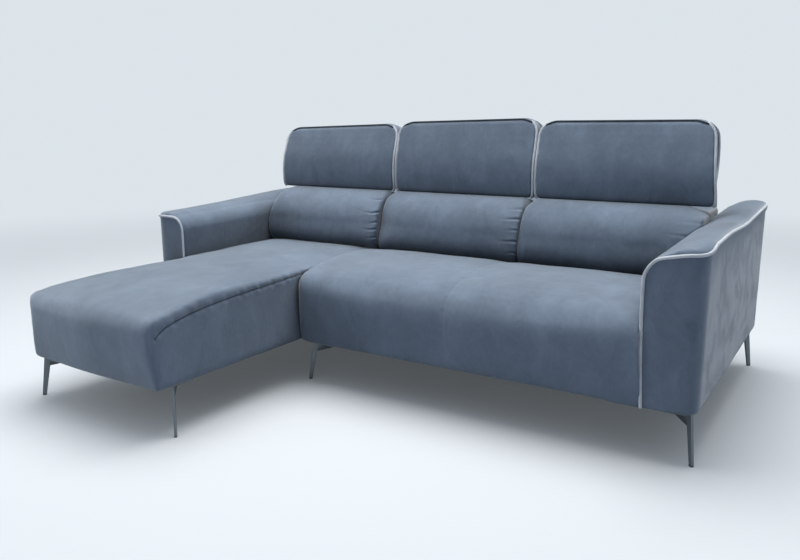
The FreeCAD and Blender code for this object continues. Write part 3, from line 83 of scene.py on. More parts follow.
# Node helpers for materials
class Shader:
    """A material under construction: adds nodes, links them, and keeps the Principled shader at hand."""

    def __init__(self, name):
        self.material = bpy.data.materials.new(name)
        self.material.use_nodes = True
        self.tree = self.material.node_tree
        self.shader = self.tree.nodes["Principled BSDF"]
        self.place = self.add("ShaderNodeTexCoord").outputs["Object"]

    def add(self, kind, **values):
        made = self.tree.nodes.new(kind)
        for key, value in values.items():
            if key in made.inputs:
                made.inputs[key].default_value = value
            else:
                setattr(made, key, value)
        return made

    def link(self, source, target):
        self.tree.links.new(source, target)

    def set(self, **values):
        for key, value in values.items():
            self.shader.inputs[key.replace("_", " ")].default_value = value

    def stretched(self, scale):
        mapping = self.add("ShaderNodeMapping", Scale=scale)
        self.link(self.place, mapping.inputs["Vector"])
        return mapping.outputs["Vector"]

    def noise(self, scale, detail=2.0, rough=0.5, distortion=0.0, vector=None):
        made = self.add("ShaderNodeTexNoise", Scale=scale, Detail=detail, Roughness=rough, Distortion=distortion)
        self.link(vector or self.place, made.inputs["Vector"])
        return made.outputs["Fac"]

    def wave(self, scale, direction, distortion=0.0, vector=None):
        made = self.add("ShaderNodeTexWave", Scale=scale, Distortion=distortion, bands_direction=direction)
        self.link(vector or self.place, made.inputs["Vector"])
        return made.outputs["Fac"]

    def maths(self, operation, first, second, third=None):
        made = self.add("ShaderNodeMath", operation=operation)
        for socket, value in zip(made.inputs, (first, second, third)):
            if value is None:
                continue
            if isinstance(value, (int, float)):
                socket.default_value = value
            else:
                self.link(value, socket)
        return made.outputs[0]

    def ramp(self, value, stops):
        made = self.add("ShaderNodeValToRGB")
        elements = made.color_ramp.elements
        while len(elements) < len(stops):
            elements.new(0.5)
        for element, (at, colour) in zip(elements, stops):
            element.position = at
            element.color = (*colour, 1) if isinstance(colour, tuple) else (colour, colour, colour, 1)
        self.link(value, made.inputs["Fac"])
        return made.outputs["Color"]

    def mix(self, share, first, second, kind="MIX"):
        made = self.add("ShaderNodeMix", data_type="RGBA", blend_type=kind)
        for socket, value in ((made.inputs["Factor"], share), (made.inputs["A"], first), (made.inputs["B"], second)):
            if isinstance(value, tuple):
                socket.default_value = (*value, 1)
            elif isinstance(value, (int, float)):
                socket.default_value = value
            else:
                self.link(value, socket)
        return made.outputs["Result"]

    def bump(self, height, strength, distance, below=None):
        made = self.add("ShaderNodeBump", Strength=strength, Distance=distance)
        self.link(height, made.inputs["Height"])
        if below is not None:
            self.link(below, made.inputs["Normal"])
        return made.outputs["Normal"]


def tinted(colour, factor):
    """A colour made darker or paler, no channel above 1."""
    return tuple(min(1, c * factor) for c in colour)


def velvet(name, colour):
    """Short-pile upholstery velvet: nap patches, brushed streaks, fine ribs of the ground weave, sheen, painted shade
    in crevices.
    """
    s = Shader(name)
    patches = s.noise(5.5, 3.0, 0.55, 0.6)
    streaks = s.noise(16.0, 4.0, 0.62, 0.9, s.stretched((1.0, 1.0, 0.45)))
    marks = s.noise(70.0, 2.0, 0.6, 0.3)
    nap = s.maths("ADD", s.maths("MULTIPLY", patches, 0.45), s.maths("MULTIPLY", streaks, 0.40))
    nap = s.maths("ADD", nap, s.maths("MULTIPLY", marks, 0.15))
    body = s.ramp(nap, [(0.34, tinted(colour, 0.80)), (0.50, colour), (0.68, tinted(colour, 1.26))])
    pile = s.noise(900.0, 2.0, 0.7)
    fleck = s.ramp(pile, [(0.30, 0.86), (0.70, 1.10)])
    body = s.mix(1.0, body, fleck, "MULTIPLY")
    # Painted shade: the base colour is darkened by ambient occlusion in crevices, inner corners and between cushions.
    painted_shade_occlusion = s.add("ShaderNodeAmbientOcclusion", Distance=0.30, samples=6)
    shut = s.ramp(painted_shade_occlusion.outputs["AO"], [(0.10, 0.20), (0.50, 0.60), (0.86, 1.0)])
    s.link(s.mix(1.0, body, shut, "MULTIPLY"), s.shader.inputs["Base Color"])
    s.link(s.maths("MULTIPLY_ADD", nap, -0.22, 0.93), s.shader.inputs["Roughness"])
    ribs = s.maths("MULTIPLY", s.wave(420.0, "X", 1.2), s.wave(420.0, "Z", 1.2))
    below = s.bump(s.maths("ADD", s.maths("MULTIPLY", streaks, 0.7), s.maths("MULTIPLY", marks, 0.3)), 0.35, 0.004)
    fine = s.bump(s.maths("ADD", pile, s.maths("MULTIPLY", ribs, 0.6)), 0.35, 0.0006, below)
    s.link(fine, s.shader.inputs["Normal"])
    s.set(Sheen_Weight=0.75, Sheen_Roughness=0.42, Sheen_Tint=(0.93, 0.97, 1.0, 1), Specular_IOR_Level=0.2, IOR=1.45)
    return s.material


def piping_cloth(name, colour):
    """Satin piping cord: twill rising round the cord, slight soiling."""
    s = Shader(name)
    dirt = s.noise(14.0, 4.0, 0.6, 0.4)
    body = s.ramp(dirt, [(0.30, tinted(colour, 0.80)), (0.55, colour), (0.80, tinted(colour, 1.1))])
    twill = s.wave(330.0, "DIAGONAL", 0.6)
    body = s.mix(1.0, body, s.ramp(twill, [(0.2, 0.84), (0.8, 1.05)]), "MULTIPLY")
    s.link(body, s.shader.inputs["Base Color"])
    s.link(s.maths("MULTIPLY_ADD", dirt, 0.2, 0.42), s.shader.inputs["Roughness"])
    s.link(s.bump(s.maths("ADD", twill, s.noise(700.0, 2.0)), 0.5, 0.0005), s.shader.inputs["Normal"])
    s.set(Sheen_Weight=0.3, Sheen_Roughness=0.4, Specular_IOR_Level=0.4)
    return s.material


def painted_metal(name, colour, metallic, rough):
    """Powder-coated or lacquered steel with orange peel, handling marks and paler edges."""
    s = Shader(name)
    smear = s.noise(30.0, 4.0, 0.6, 0.5)
    peel = s.noise(1500.0, 2.0, 0.5)
    edge = s.ramp(s.add("ShaderNodeNewGeometry").outputs["Pointiness"], [(0.52, 0.0), (0.60, 1.0)])
    body = s.ramp(smear, [(0.3, tinted(colour, 0.85)), (0.7, tinted(colour, 1.15))])
    s.link(s.mix(edge, body, tinted(colour, 2.2)), s.shader.inputs["Base Color"])
    s.link(s.maths("MULTIPLY_ADD", smear, 0.22, rough - 0.1), s.shader.inputs["Roughness"])
    s.link(s.bump(peel, 0.2, 0.0003, s.bump(smear, 0.1, 0.001)), s.shader.inputs["Normal"])
    s.set(Metallic=metallic, Specular_IOR_Level=0.5)
    return s.material


def zinc(name, colour):
    """Zinc-plated steel: spangle, brushed lines, dull patches."""
    s = Shader(name)
    crystals = s.add("ShaderNodeTexVoronoi", Scale=160.0)
    s.link(s.place, crystals.inputs["Vector"])
    spangle = s.ramp(crystals.outputs["Distance"], [(0.1, tinted(colour, 0.82)), (0.7, colour)])
    lines = s.noise(90.0, 5.0, 0.7, 0.0, s.stretched((12.0, 1.0, 1.0)))
    s.link(s.mix(0.35, spangle, s.ramp(lines, [(0.3, 0.35), (0.7, 0.8)]), "MULTIPLY"), s.shader.inputs["Base Color"])
    s.link(s.maths("MULTIPLY_ADD", lines, 0.3, 0.22), s.shader.inputs["Roughness"])
    s.link(s.bump(lines, 0.15, 0.0004), s.shader.inputs["Normal"])
    s.set(Metallic=1.0)
    return s.material


def wood(name, colour, dark, scale=1.0):
    """Sawn softwood or plywood: long grain, growth rings, a few dark lines."""
    s = Shader(name)
    grain = s.noise(38.0 * scale, 6.0, 0.65, 1.2, s.stretched((1.0, 0.12, 2.2)))
    rings = s.wave(11.0 * scale, "Z", 6.0, s.stretched((1.0, 0.2, 1.0)))
    body = s.ramp(s.maths("ADD", s.maths("MULTIPLY", grain, 0.65), s.maths("MULTIPLY", rings, 0.3)),
                  [(0.28, dark), (0.55, colour), (0.8, tinted(colour, 1.15))])
    s.link(body, s.shader.inputs["Base Color"])
    s.link(s.maths("MULTIPLY_ADD", grain, 0.25, 0.55), s.shader.inputs["Roughness"])
    s.link(s.bump(grain, 0.3, 0.0008), s.shader.inputs["Normal"])
    return s.material


def woven(name, colour, scale):
    """Plain woven or non-woven cloth: crossing threads and fuzz."""
    s = Shader(name)
    threads = s.maths("MULTIPLY", s.wave(scale, "X", 0.5), s.wave(scale, "Y", 0.5))
    fuzz = s.noise(scale * 1.7, 4.0, 0.7)
    shade = s.maths("ADD", s.maths("MULTIPLY", threads, 0.5), s.maths("MULTIPLY", fuzz, 0.5))
    s.link(s.ramp(shade, [(0.2, tinted(colour, 0.6)), (0.6, colour)]), s.shader.inputs["Base Color"])
    s.link(s.bump(shade, 0.6, 0.0006), s.shader.inputs["Normal"])
    s.set(Roughness=0.9, Specular_IOR_Level=0.2)
    return s.material


def cellular(name, colour):
    """Open-cell foam."""
    s = Shader(name)
    cells = s.add("ShaderNodeTexVoronoi", Scale=700.0)
    s.link(s.place, cells.inputs["Vector"])
    s.link(s.ramp(cells.outputs["Distance"], [(0.0, tinted(colour, 0.55)), (0.5, colour)]),
           s.shader.inputs["Base Color"])
    s.link(s.bump(cells.outputs["Distance"], 0.6, 0.001), s.shader.inputs["Normal"])
    s.set(Roughness=0.95)
    return s.material


def moulded(name, colour):
    """Moulded polymer with a fine mould texture and scuffs."""
    s = Shader(name)
    scuff = s.noise(60.0, 5.0, 0.7, 0.6)
    s.link(s.ramp(scuff, [(0.35, colour), (0.75, tinted(colour, 2.0))]), s.shader.inputs["Base Color"])
    s.link(s.bump(s.noise(1300.0, 2.0), 0.3, 0.0003), s.shader.inputs["Normal"])
    s.set(Roughness=0.6)
    return s.material


FINISH = {
    "velvet": velvet("velvet", (0.149, 0.196, 0.266)),
    # Painted shade: a much darker copy of the velvet, for the cords in sewn lines and the headrest top welts, dark
    # only from shade.
    "seam": velvet("seam", (0.030, 0.040, 0.056)),
    "piping": piping_cloth("piping", (0.62, 0.67, 0.74)),
    "leg_metal": painted_metal("leg_metal", (0.075, 0.088, 0.097), 0.6, 0.42),
    "glide": moulded("glide", (0.03, 0.03, 0.032)),
    "dust_cloth": woven("dust_cloth", (0.03, 0.032, 0.036), 900.0),
    "foam": cellular("foam", (0.62, 0.60, 0.52)),
    "webbing": woven("webbing", (0.09, 0.085, 0.08), 500.0),
    "plywood": wood("plywood", (0.50, 0.36, 0.22), (0.30, 0.19, 0.11)),
    "softwood": wood("softwood", (0.62, 0.47, 0.30), (0.42, 0.27, 0.15), 0.7),
    "zinc_steel": zinc("zinc_steel", (0.62, 0.64, 0.66)),
    "hinge_steel": painted_metal("hinge_steel", (0.05, 0.055, 0.06), 0.8, 0.42),
}


def bevelled(thing, width):
    """Small rounded edges, as folded metal has."""
    edge = thing.modifiers.new("edge", "BEVEL")
    edge.width, edge.segments, edge.limit_method = width, 2, "ANGLE"


for name, thing in nodes.items():
    for entry in thing.material_slots:
        if entry.material and entry.material.name.split(".")[0] in FINISH:
            entry.material = FINISH[entry.material.name.split(".")[0]]
for name in nodes:
    if name.startswith("leg_") and nodes[name].data.materials and "block" not in name and "screw" not in name:
        bevelled(nodes[name], 0.0006)


# Mesh helpers
def coords(mesh):
    flat = np.empty(len(mesh.vertices) * 3, np.float32)
    mesh.vertices.foreach_get("co", flat)
    return flat.reshape(-1, 3).astype(float)


def set_coords(mesh, points):
    mesh.vertices.foreach_set("co", np.asarray(points, np.float32).ravel())
    mesh.update()


def normals(mesh):
    flat = np.empty(len(mesh.vertices) * 3, np.float32)
    mesh.vertex_normals.foreach_get("vector", flat)
    return flat.reshape(-1, 3).astype(float)


def edge_pairs(mesh):
    flat = np.empty(len(mesh.edges) * 2, np.int32)
    mesh.edges.foreach_get("vertices", flat)
    return flat.reshape(-1, 2)


def smoothed(values, pairs, rounds):
    """Laplacian smoothing of one value or point per vertex, half way to the neighbours' mean each round."""
    values = np.array(values, float)
    flat = values.reshape(len(values), -1)
    count = np.bincount(pairs.ravel(), minlength=len(flat))[:, None]
    for _ in range(rounds):
        total = np.zeros_like(flat)
        for column in range(flat.shape[1]):
            total[:, column] = (np.bincount(pairs[:, 0], flat[pairs[:, 1], column], len(flat))
                                + np.bincount(pairs[:, 1], flat[pairs[:, 0], column], len(flat)))
        flat += (total / count - flat) * 0.5
    return flat.reshape(values.shape)


def ripple(points, scale, shift):
    """Smooth noise about zero at each point."""
    move = Vector((shift * 1.7, shift * 0.9 - 3.1, shift * 2.3 + 5.7))
    size = Vector(scale) if isinstance(scale, tuple) else Vector((scale,) * 3)
    return np.array([noise.noise(Vector(p) * size + move) for p in points])


def ramp(values, low, high):
    """0 below low, 1 above high, smooth between."""
    t = np.clip((values - low) / (high - low), 0, 1)
    return t * t * (3 - 2 * t)


def box_into(bm, low, high):
    made = bmesh.ops.create_cube(bm, size=1.0)
    for v in made["verts"]:
        v.co = Vector([(low[i] + high[i]) / 2 + v.co[i] * (high[i] - low[i]) for i in range(3)])


def object_of(bm, name):
    """A finished bmesh as an object in the scene."""
    mesh = bpy.data.meshes.new(name)
    bm.to_mesh(mesh)
    bm.free()
    thing = bpy.data.objects.new(name, mesh)
    scene.collection.objects.link(thing)
    return thing


def evaluated_mesh(thing):
    """A new mesh: the object's shape with its modifiers applied."""
    bpy.context.view_layer.update()
    return bpy.data.meshes.new_from_object(thing.evaluated_get(bpy.context.evaluated_depsgraph_get()))


def skin(name, sources, plugs, voxel, rounds=6):
    """One closed skin round CAD nodes, smoothed; the plugs shut the openings in their undersides."""
    bm = bmesh.new()
    for source in sources:
        bm.from_mesh(nodes[source].data)
    bmesh.ops.remove_doubles(bm, verts=bm.verts, dist=1e-6)
    for low, high in plugs:
        box_into(bm, low, high)
    rough = bpy.data.meshes.new(name + "_rough")
    bm.to_mesh(rough)
    bm.free()
    thing = bpy.data.objects.new(name, rough)
    scene.collection.objects.link(thing)
    remesh = thing.modifiers.new("remesh", "REMESH")
    remesh.mode = "VOXEL"
    remesh.voxel_size = voxel
    thing.data = evaluated_mesh(thing)
    thing.modifiers.clear()
    bpy.data.meshes.remove(rough)
    thing.data.name = name
    set_coords(thing.data, smoothed(coords(thing.data), edge_pairs(thing.data), rounds))
    return thing


# Lower and upper face of the plugs, and how far a leg's plug stays inside the leg's box
PLUG_LOW, PLUG_HIGH, PLUG_INSET = 0.1535, 0.17, 0.02


def leg_plugs(*legs):
    """Plugs for the openings that the legs leave in a cover."""
    made = []
    for leg in legs:
        low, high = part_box("leg_" + leg)
        made.append(((low.x + PLUG_INSET, low.y + PLUG_INSET, PLUG_LOW),
                     (high.x - PLUG_INSET, high.y - PLUG_INSET, PLUG_HIGH)))
    return made


def finish_piece(thing, body, finish, replaced=()):
    """Material and slot, smooth shading, hidden replaced nodes and body of a piece."""
    thing.data.materials.clear()
    thing.data.materials.append(FINISH[finish])
    thing.data.polygons.foreach_set("use_smooth", [True] * len(thing.data.polygons))
    thing.data.update()
    if replaced:
        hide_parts(*replaced)
    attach(thing, body)
    return thing


def subdivided(thing):
    """One level of subdivision, applied."""
    more = thing.modifiers.new("more", "SUBSURF")
    more.levels = more.render_levels = 1
    mesh = evaluated_mesh(thing)
    thing.modifiers.clear()
    thing.data = mesh


def dense_path(path, step=0.004):
    """Points every step along a Catmull-Rom curve through the given points."""
    p = [Vector(q) for q in path]
    p = [p[0] * 2 - p[1]] + p + [p[-1] * 2 - p[-2]]
    made = []
    for a, b, c, d in zip(p, p[1:], p[2:], p[3:]):
        count = max(2, int((c - b).length / step))
        for i in range(count):
            t = i / count
            made.append(0.5 * ((2 * b) + (c - a) * t + (2 * a - 5 * b + 4 * c - d) * t * t
                               + (3 * b - a - 3 * c + d) * t ** 3))
    made.append(p[-2])
    return made


def on_surface(tree, path, lift=0.0):
    """The path moved onto the nearest surface and lifted off it."""
    made = []
    for point in path:
        place, normal, _, _ = tree.find_nearest(point)
        made.append(place + normal * lift)
    return made


def tree_of(thing):
    bm = bmesh.new()
    bm.from_mesh(thing.data)
    tree = BVHTree.FromBMesh(bm)
    bm.free()
    return tree


def evened(points, rounds):
    """A polyline with its small steps smoothed out, ends kept."""
    points = [p.copy() for p in points]
    for _ in range(rounds):
        points = [points[0]] + [(a + b * 2 + c) / 4 for a, b, c in zip(points, points[1:], points[2:])] + [points[-1]]
    return points


def tube(name, path, radius):
    """A round cord along a polyline, its ends closed."""
    curve = bpy.data.curves.new(name, "CURVE")
    curve.dimensions = "3D"
    spline = curve.splines.new("POLY")
    spline.points.add(len(path) - 1)
    for point, target in zip(path, spline.points):
        target.co = (*point, 1)
    curve.bevel_depth = radius
    curve.bevel_resolution = 3
    curve.use_fill_caps = True
    holder = bpy.data.objects.new(name, curve)
    scene.collection.objects.link(holder)
    mesh = evaluated_mesh(holder)
    bpy.data.objects.remove(holder)
    thing = bpy.data.objects.new(name, mesh)
    scene.collection.objects.link(thing)
    return thing


def groove(thing, path, depth, width, pull=0.0, pucker=0.0, pitch=0.03):
    """Presses a sewn line into a skin along a path, with small puckers across it."""
    kd = KDTree(len(path))
    along = [0.0]
    for a, b in zip(path, path[1:]):
        along.append(along[-1] + (b - a).length)
    for i, point in enumerate(path):
        kd.insert(point, i)
    kd.balance()
    points, outward = coords(thing.data), normals(thing.data)
    reach = width * 3.2
    for i in range(len(points)):
        place, index, far = kd.find(points[i])
        if far < reach:
            fall = math.exp(-(far / width) ** 2)
            wide = math.exp(-(far / (width * 1.7)) ** 2)
            ripple_here = 0.0
            if pucker:
                phase = along[index] / pitch * math.tau
                ripple_here = pucker * wide * (1 - fall * 0.7) * (math.sin(phase) + 0.6 * math.sin(phase * 1.73 + 1.3))
            points[i] += outward[i] * (ripple_here - depth * fall)
            if pull:
                points[i] += (np.array(place) - points[i]) * (pull * fall)
    set_coords(thing.data, points)


def moved(thing, change):
    """Sets a mesh's points to change(points, normals)."""
    set_coords(thing.data, change(coords(thing.data), normals(thing.data)))


def hit(tree, start, direction):
    """Where a ray meets a surface, or None."""
    return tree.ray_cast(Vector(start), Vector(direction))[0]


# Depth at which the paths of the rear seams start, just behind the sofa
BEHIND = 0.86


def rear_seam(thing, name, points):
    """A sewn line on the rear of a back or an arm: a groove with a dark cord in it, painted shade along the line."""
    path = evened(on_surface(tree_of(thing), dense_path(points, 0.006)), 6)
    groove(thing, path, 0.0024, 0.0055, 0.1)
    line = tube(name, evened(on_surface(tree_of(thing), path, 0.0002), 6), 0.0011)
    moved(line, drift)
    return finish_piece(line, "sofa", "seam")


CLOTH_FRAMES = 20


def inflate(jobs):
    """Cloth with air inside, for several skins at once; how far a point may move is capped.

    A job is the skin, where it is held (1 held, 0 free), pressure, stiffness, the cap and how often the
    movement is evened out, which calms creases that taut velvet doesn't show.
    """
    before = []
    for thing, held, pressure, stiffness, *_ in jobs:
        group = thing.vertex_groups.new(name="held")
        levels = np.round(np.clip(held, 0, 1) * 10).astype(int)
        for level in range(1, 11):
            group.add([int(i) for i in np.nonzero(levels == level)[0]], level / 10, "REPLACE")
        cloth = thing.modifiers.new("cloth", "CLOTH")
        s = cloth.settings
        s.quality = 4
        s.mass = 0.3
        s.tension_stiffness = s.compression_stiffness = stiffness
        s.shear_stiffness = stiffness * 0.6
        s.bending_stiffness = 0.4
        s.use_pressure = True
        s.uniform_pressure_force = pressure
        s.effector_weights.gravity = 0
        s.vertex_group_mass = "held"
        cloth.collision_settings.use_collision = False
        cloth.point_cache.frame_start = 1
        cloth.point_cache.frame_end = CLOTH_FRAMES
        before.append(coords(thing.data))
    for number in range(1, CLOTH_FRAMES + 1):
        scene.frame_set(number)
    graph = bpy.context.evaluated_depsgraph_get()
    after = [coords(thing.evaluated_get(graph).data) for thing, *_ in jobs]
    for (thing, *_, cap, calm), old, new in zip(jobs, before, after):
        thing.modifiers.clear()
        thing.vertex_groups.clear()
        step = new - old
        far = np.linalg.norm(step, axis=1)
        step *= np.minimum(1, cap / np.maximum(far, 1e-9))[:, None]
        step = smoothed(step, edge_pairs(thing.data), calm)
        set_coords(thing.data, old + step)
    scene.frame_set(1)


# Soft pieces: skins first
VOXEL, SEAT_VOXEL, HEADREST_VOXEL = 0.006, 0.008, 0.005
SEAT_NODES = {"chaise": ("chaise_seat_cover", "chaise_seat_foam"), "bench": ("bench_seat_cover", "bench_seat_foam")}
BACK_NODES = {side: (side + "_back_cover", side + "_back_foam") for side in ("chaise", "bench")}
ARM_NODES = {side: (side + "_arm_cover", side + "_arm_foam") for side in ("left", "right")}
chaise = skin("chaise_upholstery", SEAT_NODES["chaise"],
              [((-0.80, -0.745, PLUG_LOW), (-0.376, 0.41, PLUG_HIGH))]
              + leg_plugs("chaise_front_left", "chaise_front_right"), SEAT_VOXEL, 4)
bench = skin("bench_upholstery", SEAT_NODES["bench"],
             [((-0.25, -0.125, PLUG_LOW), (0.80, 0.41, PLUG_HIGH))] + leg_plugs("bench_front_left"), SEAT_VOXEL, 4)
arms = {
    "left": skin("left_arm_upholstery", ARM_NODES["left"], leg_plugs("chaise_rear_left"), VOXEL, 3),
    "right": skin("right_arm_upholstery", ARM_NODES["right"],
                  leg_plugs("bench_front_right", "bench_rear_right"), VOXEL, 3),
}
backs = {
    "chaise": skin("chaise_back_upholstery", BACK_NODES["chaise"], leg_plugs("chaise_rear_right"), VOXEL, 3),
    "bench": skin("bench_back_upholstery", BACK_NODES["bench"], leg_plugs("bench_rear_left"), VOXEL, 3),
}
lumbars = {side: skin(f"lumbar_{side}_upholstery", (f"lumbar_cushion_{side}",), [], VOXEL) for side in SIDES}
headrests = {side: skin(f"headrest_{side}_upholstery",
                        (f"headrest_{side}_cover", f"headrest_{side}_foam", f"headrest_{side}_board"),
                        [], HEADREST_VOXEL, 3)
             for side in SIDES}


# The left arm stands a little further out than the CAD solid, and its seat and cushion follow it
def drift(p, n):
    p[:, 0] -= 0.022 * ramp(-p[:, 0], 0.76, 0.862) * ramp(p[:, 1], -0.245, -0.205)
    return p


# Cushions and seats swell between their seams
def held_near(points, low, high, band, sides):
    """1 at the named faces of a box, falling to 0 a band away from them."""
    held = np.zeros(len(points))
    for axis, upper in sides:
        far = (high[axis] - points[:, axis]) if upper else (points[:, axis] - low[axis])
        held = np.maximum(held, 1 - ramp(far, band * 0.3, band))
    return held


jobs = []
for side in SIDES:
    low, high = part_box("lumbar_cushion_" + side)

    def tuck(p, n, low=low, high=high):
        """Starts slacker: the front is drawn back a little between the ends."""
        inner = ramp(p[:, 0] - low.x, 0.0, 0.09) * ramp(high.x - p[:, 0], 0.0, 0.09)
        front = ramp(high.y - p[:, 1], 0.03, 0.15)
        p[:, 1] += 0.007 * inner * front
        return p

    moved(lumbars[side], tuck)
    points = coords(lumbars[side].data)
    held = held_near(points, low, high, 0.030, [(0, False), (0, True), (2, False), (1, True)])
    jobs.append((lumbars[side], held, 4.0, 14.0, 0.013, 10))
for side in SIDES:
    low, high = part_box(f"headrest_{side}_cover")
    points = coords(headrests[side].data)
    held = held_near(points, low, high, 0.014, [(0, False), (0, True), (2, False), (2, True)])
    jobs.append((headrests[side], held, 2.5, 22.0, 0.006, 25))
for thing, node in ((chaise, "chaise_seat_cover"), (bench, "bench_seat_cover")):
    low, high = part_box(node)
    points = coords(thing.data)
    held = held_near(points, low, high, 0.05, [(0, False), (0, True), (1, True)])
    held = np.maximum(held, 1 - ramp(points[:, 2], 0.20, 0.30))
    jobs.append((thing, held, 2.0, 25.0, 0.006, 40))
inflate(jobs)
subdivided(chaise)
subdivided(bench)


# Chaise: softened outer front corner, boxing panel on the joint side, soft dents
def shape_chaise(p, n):
    corner = ramp(-p[:, 0], 0.60, 1.0) * ramp(-p[:, 1], 0.55, 0.85)
    p[:, 1] += 0.016 * corner
    p[:, 0] += 0.012 * corner
    p[:, 2] -= 0.006 * corner * ramp(p[:, 2], 0.25, 0.40)
    top = ramp(n[:, 2], 0.2, 0.9)
    p += n * (top * (0.0016 * ripple(p, 6.0, 2.0) + 0.0008 * ripple(p, 17.0, 5.0)))[:, None]
    side = 1 - np.abs(n[:, 2])
    p += n * (side * 0.0013 * ripple(p, (9.0, 9.0, 5.0), 8.0))[:, None]
    return p


moved(chaise, shape_chaise)
moved(chaise, drift)
chaise_tree = tree_of(chaise)
SEAM_ROUTE = [(-0.3145, 0.43, 0.404), (-0.3145, 0.10, 0.408), (-0.3145, -0.20, 0.396), (-0.3145, -0.39, 0.386),
              (-0.3145, -0.535, 0.379), (-0.3145, -0.66, 0.368), (-0.3145, -0.744, 0.354), (-0.3145, -0.800, 0.338),
              (-0.318, -0.828, 0.316)]
chaise_seam = evened(on_surface(chaise_tree, dense_path(SEAM_ROUTE)), 8)
groove(chaise, chaise_seam, 0.0035, 0.0065, 0.15, 0.0024, 0.052)
chaise_tree = tree_of(chaise)
# The cord in the groove is the dark velvet copy: painted shade along the sewn line.
finish_piece(tube("chaise_seam", evened(on_surface(chaise_tree, chaise_seam, 0.0002), 6), 0.0012),
             "sofa", "seam")
finish_piece(chaise, "sofa", "velvet", SEAT_NODES["chaise"])


# Bench: a sewn crease between its two seats
def shape_bench(p, n):
    top = ramp(n[:, 2], 0.2, 0.9)
    p += n * (top * (0.0016 * ripple(p, 6.0, 3.0) + 0.0008 * ripple(p, 17.0, 6.0)))[:, None]
    middle = np.exp(-((p[:, 0] - 0.2755) / 0.045) ** 2)
    p -= n * (0.0045 * middle * ramp(-p[:, 1], -0.42, -0.30) * ramp(p[:, 2], 0.18, 0.24))[:, None]
    side = 1 - np.abs(n[:, 2])
    p += n * (side * 0.0013 * ripple(p, (9.0, 9.0, 5.0), 9.0))[:, None]
    end = ramp(p[:, 0], 0.76, 0.83)
    reach = 0.8655 + 0.013 * (1 - ramp(p[:, 2], 0.17, 0.42)) * ramp(-p[:, 1], 0.12, 0.19)
    p[:, 0] = np.minimum(p[:, 0] + 1.1 * np.maximum(p[:, 0] - 0.80, 0), reach)
    p[:, 2] -= end * 0.40 * np.maximum(0.185 - p[:, 2], 0)
    p[:, 2] = np.where(end > 0, np.maximum(p[:, 2], 0.1545), p[:, 2])
    return p


moved(bench, shape_bench)
bench_tree = tree_of(bench)
crease = []
for z, y in ((0.60, 0.30), (0.60, 0.16), (0.60, 0.02), (0.60, -0.10), (0.60, -0.17)):
    crease.append(hit(bench_tree, (0.2755, y, z), (0, 0, -1)))
for z in (0.375, 0.34, 0.29, 0.24, 0.19):
    crease.append(hit(bench_tree, (0.2755, -0.6, z), (0, 1, 0)))
crease = evened(on_surface(bench_tree, dense_path(crease)), 8)
groove(bench, crease, 0.0022, 0.006, 0.1, 0.0007, 0.041)
finish_piece(bench, "sofa", "velvet", SEAT_NODES["bench"])


# Lumbar cushions: square lower corners on the seat, gathers at the right-hand end
LUMBAR_CORNER = 0.042
GATHERS = ((0.84, 0.040, 0.0034), (0.67, 0.046, 0.0044), (0.52, 0.028, 0.0028), (0.38, 0.044, 0.0040),
           (0.20, 0.030, 0.0026))
LEFT_END_PULL = {"left": 0.0, "middle": 0.030, "right": 0.008}
for number, side in enumerate(SIDES):
    low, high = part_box("lumbar_cushion_" + side)

    def shape_lumbar(p, n, low=low, high=high, number=number, side=side):
        half, centre, height = (high.x - low.x) / 2, (high.x + low.x) / 2, high.z - low.z
        up = (p[:, 2] - low.z) / height
        rise = np.clip(p[:, 2] - low.z, 0.003, LUMBAR_CORNER)
        inset = LUMBAR_CORNER - np.sqrt(LUMBAR_CORNER ** 2 - (LUMBAR_CORNER - rise) ** 2)
        p[:, 0] = centre + (p[:, 0] - centre) * half / (half - 0.85 * inset)
        front = ramp(high.y - p[:, 1], 0.03, 0.12)
        p[:, 1] -= 0.018 * front * (1 - ramp(up, 0.05, 0.50))
        left, right = p[:, 0] - low.x, high.x - p[:, 0]
        p[:, 1] += LEFT_END_PULL[side] * front * np.sin(np.pi * np.clip(up, 0, 1)) * np.exp(-(left / 0.06) ** 2)
        face = ramp(-n[:, 1], 0.0, 0.6)
        wander = 0.006 * ripple(p * np.array([1, 0, 0]), 30.0, 3.0 * number)
        for share, length, depth in GATHERS:
            off = p[:, 2] - (low.z + height * (share + 0.03 * math.sin(number * 2.1 + share * 9))) - wander
            reach = np.exp(-(np.maximum(right, 0) / length) ** 2)
            p += n * (face * reach * depth * (0.4 if side == "right" else 1.0) * (0.5 * np.exp(-(off / 0.011) ** 2)
                                              - 1.4 * np.exp(-(off / 0.0042) ** 2)))[:, None]
        p += n * (face * (0.0022 * ripple(p, (7.0, 9.0, 12.0), 7.0) + 0.0006 * ripple(p, 30.0, 2.0)))[:, None]
        p[:, 2] += 0.004 * ramp(up, 0.6, 0.95)
        if side == "right":
            end = ramp(p[:, 0], high.x - 0.11, high.x)
            p[:, 0] += end * (0.012 + 0.034 * ramp(p[:, 2], 0.552, 0.590))
            p[:, 2] -= 0.020 * ramp(p[:, 0], high.x - 0.03, high.x + 0.045) * ramp(p[:, 2], 0.60, 0.66)
        if side == "left":
            p[:, 0] += 0.016 * ramp(-p[:, 0], 0.76, 0.862) * ramp(p[:, 2], 0.50, 0.63)
        return p

    subdivided(lumbars[side])
    moved(lumbars[side], shape_lumbar)
    moved(lumbars[side], drift)
    finish_piece(lumbars[side], "sofa", "velvet", ("lumbar_cushion_" + side,))


# Headrests: self welt over the top edges, a dark cord in painted shade, pale piping round the end gussets
HEADREST_TOP, HEADREST_FOOT = 0.055, 0.030  # corner radii
WELT_INSET, GUSSET_CORD, WELT = 0.0045, 0.0044, 0.0030  # cords inside the edges, and their radii


